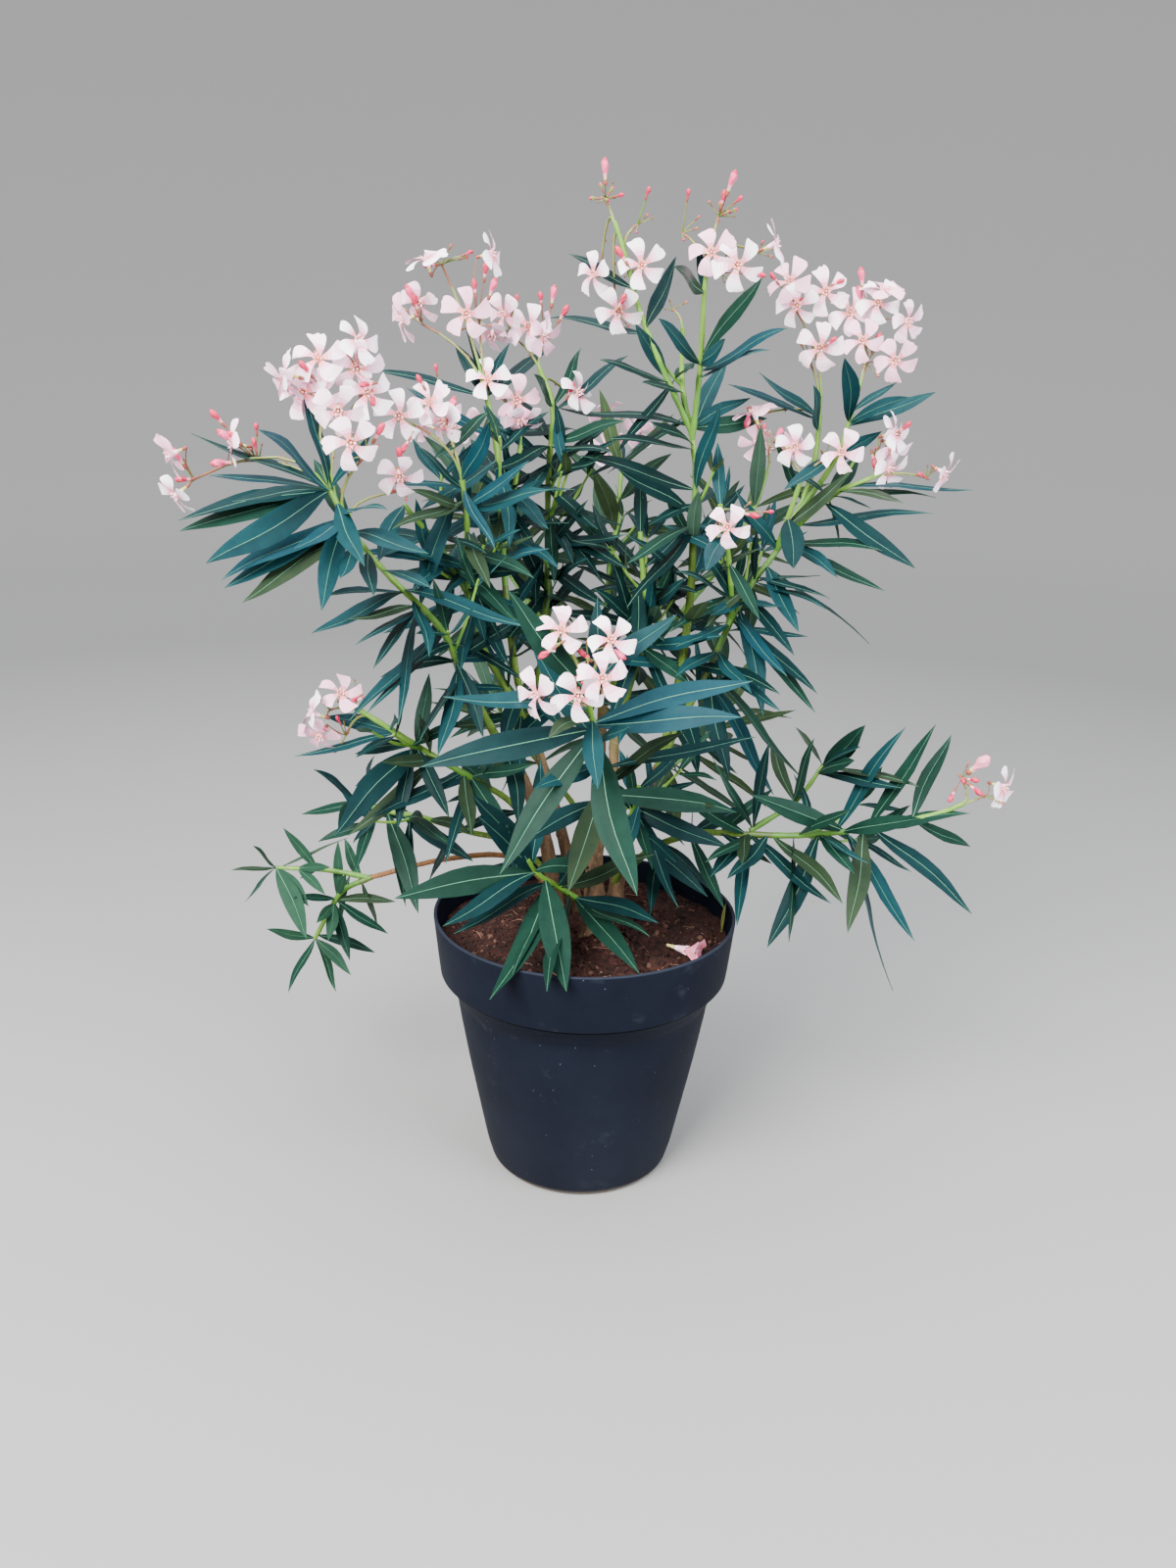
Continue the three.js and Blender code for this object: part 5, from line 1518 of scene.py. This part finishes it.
def grow_bud(root, tip, age, random):
    """One bud: a spindle whose rolled petals twist to a point. Returns the end for its stalk."""
    way = unit(tip - root)
    length = mix(7, 27, age) * mm
    opening = age > 1.1
    fat = mix(0.5, 1.2, age) * (1.5 if opening else 1)
    foot = tip - way * length
    across, over = frame_about(way)
    angle = circle(10)
    rings = []
    for s, width in zip(bud_shares, bud_widths):
        twist = angle + 2.6 * s
        radius = width * fat * mm * (1 + 0.09 * np.cos(5 * angle))
        spokes = np.cos(twist)[:, None] * across + np.sin(twist)[:, None] * over
        rings.append(foot + way * s * length + spokes * radius[:, None])
    low = "tube_yellow" if age > 0.45 else "bud_green" if age < 0.3 else "bud_crimson"
    body = "petal_flush" if opening else "bud_rose" if age > 0.85 else "bud_crimson"
    point = body if opening else "bud_crimson"
    tones = [low, low, "petal_flush" if age > 0.45 else low] + [body] * 4 + [point] * 2
    if age < 0.3:
        tones[3:6] = ["bud_green"] * 3
    bud_skin.loft(rings, ring_tones(tones))
    sepals = [foot + way * beyond for beyond in (-0.002, -0.0005, 0.0018, 0.0045)]
    sepal_radii = np.array([0.8, 1.7, 1.9, 1.5]) * fat * mm
    bud_skin.loft(spread_tube(sepals, sepal_radii, 8), petal_number["calyx_red"])
    return foot - way * 0.002


def grow_stalk(start, end, lean, radius, tone):
    """A stalk that thins a little on its way, and leaves its start along lean."""
    radii = np.linspace(radius, radius * 0.8, 7) * mm
    stalk_skin.loft(spread_tube(bent(start, end, lean), radii, 6), tone)


# A head's own stalk, lime at its foot and browner towards the flowers. The numbers are those of the
# shoots' materials.
lime, green_stalk, brown_stalk = 2, 3, 4
stem_tones = np.array([lime] * 2 + [green_stalk] * 3 + [brown_stalk])[None, :, None]
stem_steps = 21
bract_steps = 9, 14, 18
flower_stalk = 0.8
bud_stalk = 0.65
young_stalk = 1.0


def grow_bract(root, way, length):
    """A small pointed scale where stalks part."""
    line = bent(root, root + way * length * mm, way, 4)
    stalk_skin.loft(spread_tube(line, np.array([0.9, 1.1, 0.7, 0.15]) * mm, 4), brown_stalk)


def head_frame(head, start):
    """The middle, axis, hub and two side directions of a flower head, by the plant's rule."""
    x, y, z = head[:3]
    centre = np.array([x, y, z]) * mm
    behind = 420 if y < light_side else -60
    axis = unit(np.array([x, y - behind, 0.0]))
    axis = unit(axis + 0.3 * unit(centre - start) + 0.3 * up)
    side = unit(np.cross(axis, up))
    rise = np.cross(side, axis)
    return centre, axis, centre - axis * pedicel_length * 0.9 * mm, side, rise


def seen_place(heads, u, v, reach, wander, random):
    """For a pixel: the axis and hub of the head nearest to it, its line of sight, and a place on that."""
    middles = pixels_of([head[0] for head in heads])
    _, axis, hub = heads[int(np.linalg.norm(middles - (u, v), axis=1).argmin())]
    natural = hub + axis * pedicel_length * reach * mm
    line = sight_line(u, v)
    return axis, hub, line, eye + line * ((natural - eye) @ line + (random.random() - 0.5) * wander)


# Growth. Each mass grows in turn: its shoots, then its heads with the flowers and buds that the
# picture shows, and once all of those stand, its leaves, which keep clear of them. Like pieces are
# joined, and the leaves of a zone stand for the masses in it.
flower_tilt = 52
bud_tilt = 22
bud_tilt_step = 9
golden_turn = 137.5
large_bud = 0.6
young_bud = 0.45
many_leaves = 5
most_frontward = -0.15
growing = []
for number, (name, mass) in enumerate(masses.items()):
    draw = seeded(number + 1)
    random = np.random.default_rng(400 + number)
    shoots = [mass, *mass.get("forks", [])]
    paths = [Path(shoot["route"]) for shoot in shoots]
    heads = []
    by_rule = []
    for order, (shoot, path) in enumerate(zip(shoots, paths)):
        grow_shoot(path, shoot_radius - (0.4 if order else 0), shoot, len(shoots) > 1 and order == 0)
        onward = path.heading(path.length)
        for step, head in enumerate(shoot["heads"]):
            flowers, buds, first_turn = head[3:]
            start = path.at(path.length - (3 + 2 * fork_step * step) * mm)
            centre, axis, hub, side, rise = head_frame(head, start)
            grow_stalk(start, hub, onward, stalk_radius * 1.3, stem_tones)
            bow = bent(start, hub, onward, stem_steps)
            for i in bract_steps:
                sideways = aside(side, rise, random.random() * full_turn)
                grow_bract(bow[i], unit(unit(bow[i + 1] - bow[i]) + 0.8 * sideways), 5)
            heads.append((centre, axis, hub))
            spins = [next(draw) * math.pi for _ in range(flowers)]
            if name in seen_leaves:
                continue
            for i, spin in enumerate(spins):
                tilt = math.radians(flower_tilt) if flowers > 1 else 0
                facing = tilted(axis, side, rise, tilt, math.radians(first_turn + i * 360 / flowers))
                place = hub + facing * pedicel_length * (1.25 if flowers > 1 else 1) * mm
                end = grow_flower(place, unit(mix(facing, axis, 0.4)), spin, random)
                root = hub - unit(hub - start) * fork_step * i * mm
                grow_stalk(root, end, unit(hub - start), flower_stalk, brown_stalk)
            for i in range(buds + 2):
                turn = math.radians(first_turn + 70 + i * golden_turn)
                lean = tilted(axis, side, rise, math.radians(bud_tilt + bud_tilt_step * i), turn)
                end = grow_bud(hub, hub + lean * pedicel_length * 1.35 * mm, random.random(), random)
                grow_stalk(hub, end, lean, bud_stalk, brown_stalk)
        by_rule.append(whorls(shoot, path, draw))

    for u, v, rightward, upward in seen_flowers.get(name, []):
        axis, hub, line, place = seen_place(heads, u, v, 1.05, 0.018, random)
        turned_away = screen_right * rightward + screen_up * upward
        facing = unit(turned_away - line * math.sqrt(max(0.05, 1 - rightward**2 - upward**2)))
        blossoms.append(place)
        end = grow_flower(place, facing, random.random() * math.pi, random)
        tone = green_stalk + int(random.random() < 0.6)
        grow_stalk(hub, end, unit(unit(end - hub) + axis), flower_stalk, tone)
    for u, v, age in seen_buds.get(name, []):
        axis, hub, line, tip = seen_place(heads, u, v, 1.1, 0.014, random)
        if age > large_bud:
            blossoms.append(tip)
        across = tip - hub - line * ((tip - hub) @ line)
        lean = unit(unit(across) - line * 0.4 * random.random())
        end = grow_bud(tip - lean, tip, age, random)
        width, tone = (young_stalk, lime) if age < young_bud else (flower_stalk, green_stalk)
        tone += int(random.random() < 0.6)
        grow_stalk(hub, end, unit(unit(end - hub) + 0.3 * axis), width, tone)
    for _, axis, hub in heads:
        side, rise = frame_about(axis)
        for _ in range(3):
            turn, tilt = random.random() * full_turn, 0.5 + 0.7 * random.random()
            lean = tilted(axis, side, rise, tilt, turn)
            end = hub + lean * (0.010 + 0.012 * random.random())
            grow_stalk(hub, end, lean, flower_stalk, green_stalk)
            if random.random() < 0.5:
                grow_bud(hub, end + lean * 0.009, 0.0, random)
            else:
                grow_bract(end, lean, 4)
    growing.append((name, mass, paths, by_rule, draw, random))

leaves_of = {}
for name, mass, paths, by_rule, draw, random in growing:
    finer = []
    if "below" in mass:
        bough, first, last, size = mass["below"]
        lower = {"turn": 35, "leaves": (first, last), "size": size}
        finer += whorls(lower, Path(boughs[bough][2]), draw)
    for _ in range(mass.get("twigs", 0)):
        carrier = paths[0] if random.random() < 0.6 else paths[int(random.random() * len(paths))]
        distance = mix(*twig_places, random.random()) * carrier.length
        start = carrier.at(distance)
        sideways = aside(*carrier.across(distance), random.random() * full_turn)
        way = unit(0.7 * carrier.heading(distance) + 0.8 * sideways + 0.3 * up)
        reach = mix(*twig_reach, random.random())
        route = start / mm + np.outer([0, 0.5, 1], way * reach) + np.outer([0, 0, 0.14], up * reach)
        turn = 60 * random.random()
        twig = {"turn": turn, "leaves": (12, reach), "size": mix(*twig_leaf_sizes, random.random())}
        twig_path = Path(route)
        grow_shoot(twig_path, twig_radius, twig, False)
        finer += whorls(twig, twig_path, draw)
    shown = [seen_leaf(paths, mass["size"], *ends) for ends in seen_leaves.get(name, [])]
    shown = [leaf for leaf in shown if leaf]
    grown = [leaf for leaves in by_rule for leaf in leaves]
    if len(shown) > many_leaves:
        # The picture's own leaves fill the front, so those of the rule that come forward are dropped
        grown = [leaf for leaf in grown if leaf["direction"][1] > most_frontward]
        grown = [leaf for leaf in grown if not crowds(leaf, shown)]
    grown = [leaf for leaf in grown + finer if stands_clear(leaf) and not hides_blossom(leaf, filler_clear)]
    leaves_of[name] = shown + grown
    for leaf in leaves_of[name]:
        leaf["fresh"] = mass.get("fresh", False)

shoot_skin.build("green_shoots", wood_materials, "wood", [])
stalk_skin.build("flower_stalks", wood_materials, "wood", [])
petal_skin.build("petals", petal_materials, "blossom", [], sharp=75)
tube_skin.build("flower_tubes", petal_materials, "blossom", [])
bud_skin.build("buds", petal_materials, "blossom", [])

leaf_zones = {
    "leaves_left": [
        "crown_far_left", "crown_left", "crown_low_left", "crown_bottom_left", "spray_ground_left",
    ],
    "leaves_high": ["crown_high_left", "crown_high_middle", "crown_top", "crown_centre"],
    "leaves_right": ["crown_right", "crown_low_right", "crown_front_right"],
    "leaves_front": ["crown_front", "spray_rim_front"],
    "leaves_back": [
        "crown_back_left", "crown_back_high", "crown_back_right",
        "crown_back_low_left", "crown_back_low_right",
    ],
}
for zone, (piece, names) in enumerate(leaf_zones.items()):
    random = np.random.default_rng(70 + zone)
    leaves = [leaf for name in names for leaf in leaves_of[name]]
    points, places = leaf_rings(leaves, random)
    zone_skin = Skin()
    zone_skin.loft(points, leaf_finish(leaves, random), places, under=6)
    zone_skin.build(piece, leaf_materials, "foliage", names)

# Fallen blossom and leaf. A dropped flower lies limp on the soil near the rim, its petals folded
# forward, and a small withered leaf leans against the rim on the right.
fallen_place = np.array([126, -86, 338]) * mm
petal_skin, tube_skin = Skin(), Skin()
random = np.random.default_rng(5)
fallen_axis = unit(np.array([0.92, -0.38, -0.1]))
grow_flower(fallen_place, fallen_axis, 0.5, random, settle=(soil_height + 3) * mm, cup=0.9, scale=1.15)
petal_skin.build("fallen_petals", petal_materials, "blossom", ["fallen_blossom"], sharp=75)
tube_skin.build("fallen_tube", petal_materials, "blossom", [])
withered_length = 40
withered_pixel = 736, 951
line = sight_line(*withered_pixel)
foot = eye + line * ((soil_height * mm - 0.004 - eye[2]) / line[2])
withered = blade_from(foot, unit(np.array([0.1, 0.12, 1.0])), up, withered_length * mm, 0.0, 1.0)
withered["normal"] = -forward
withered["width"] = 0.62
points, places = leaf_rings([withered], random)
dry_skin = Skin()
dry_skin.loft(points, leaf_numbers["leaf_withered"], places, under=6)
dry_skin.build("withered_leaf", leaf_materials, "foliage", [])

# Studio. A plain pale floor that curves up all round, and soft light from the front, left and top.
# None of it is part of the plant.
floor_profile = np.array([(0.02, 0), (1.5, 0), (3.6, 0), (4.4, 0.15), (5.0, 0.6), (5.3, 1.4), (5.4, 4.5)])
floor_sides = 96
floor_tone = 0.265, 0.261, 0.258, 1
sky_tone = 0.9, 0.94, 1.0, 1
sky_strength = 1.58
lit_place = Vector((0, 0, 0.6))
pale, tree, shader = finish("pale_floor", 0.9)
shader.inputs["Base Color"].default_value = floor_tone
rings = turned_rings(floor_profile, floor_sides)
floor_mesh = bpy.data.meshes.new("floor")
floor_faces = [list(range(floor_sides))]
for i, j in itertools.product(range(len(floor_profile) - 1), range(floor_sides)):
    inner, outer, k = i * floor_sides, (i + 1) * floor_sides, (j + 1) % floor_sides
    floor_faces.append([inner + j, outer + j, outer + k, inner + k])
floor_mesh.from_pydata(rings.reshape(-1, 3), [], floor_faces)
floor_mesh.materials.append(pale)
floor_mesh.shade_smooth()
floor = bpy.data.objects.new("floor", floor_mesh)
bpy.context.scene.collection.objects.link(floor)

for name, place, size, power, tone in [
    ("key_light", (-1.5, -2.3, 2.6), 2.0, 480, (1.0, 0.985, 0.97)),
    ("fill_light", (2.0, -1.6, 1.5), 1.8, 140, (0.94, 0.97, 1.0)),
    ("top_light", (0.0, 0.2, 3.2), 2.6, 105, (0.95, 0.98, 1.0)),
]:
    lamp = bpy.data.lights.new(name, "AREA")
    lamp.size = size
    lamp.energy = power
    lamp.color = tone
    light = bpy.data.objects.new(name, lamp)
    light.location = place
    light.rotation_euler = (lit_place - Vector(place)).to_track_quat("-Z", "Y").to_euler()
    bpy.context.scene.collection.objects.link(light)
world = bpy.data.worlds.new("studio")
world.use_nodes = True
world.node_tree.nodes["Background"].inputs["Color"].default_value = sky_tone
world.node_tree.nodes["Background"].inputs["Strength"].default_value = sky_strength
bpy.context.scene.world = world
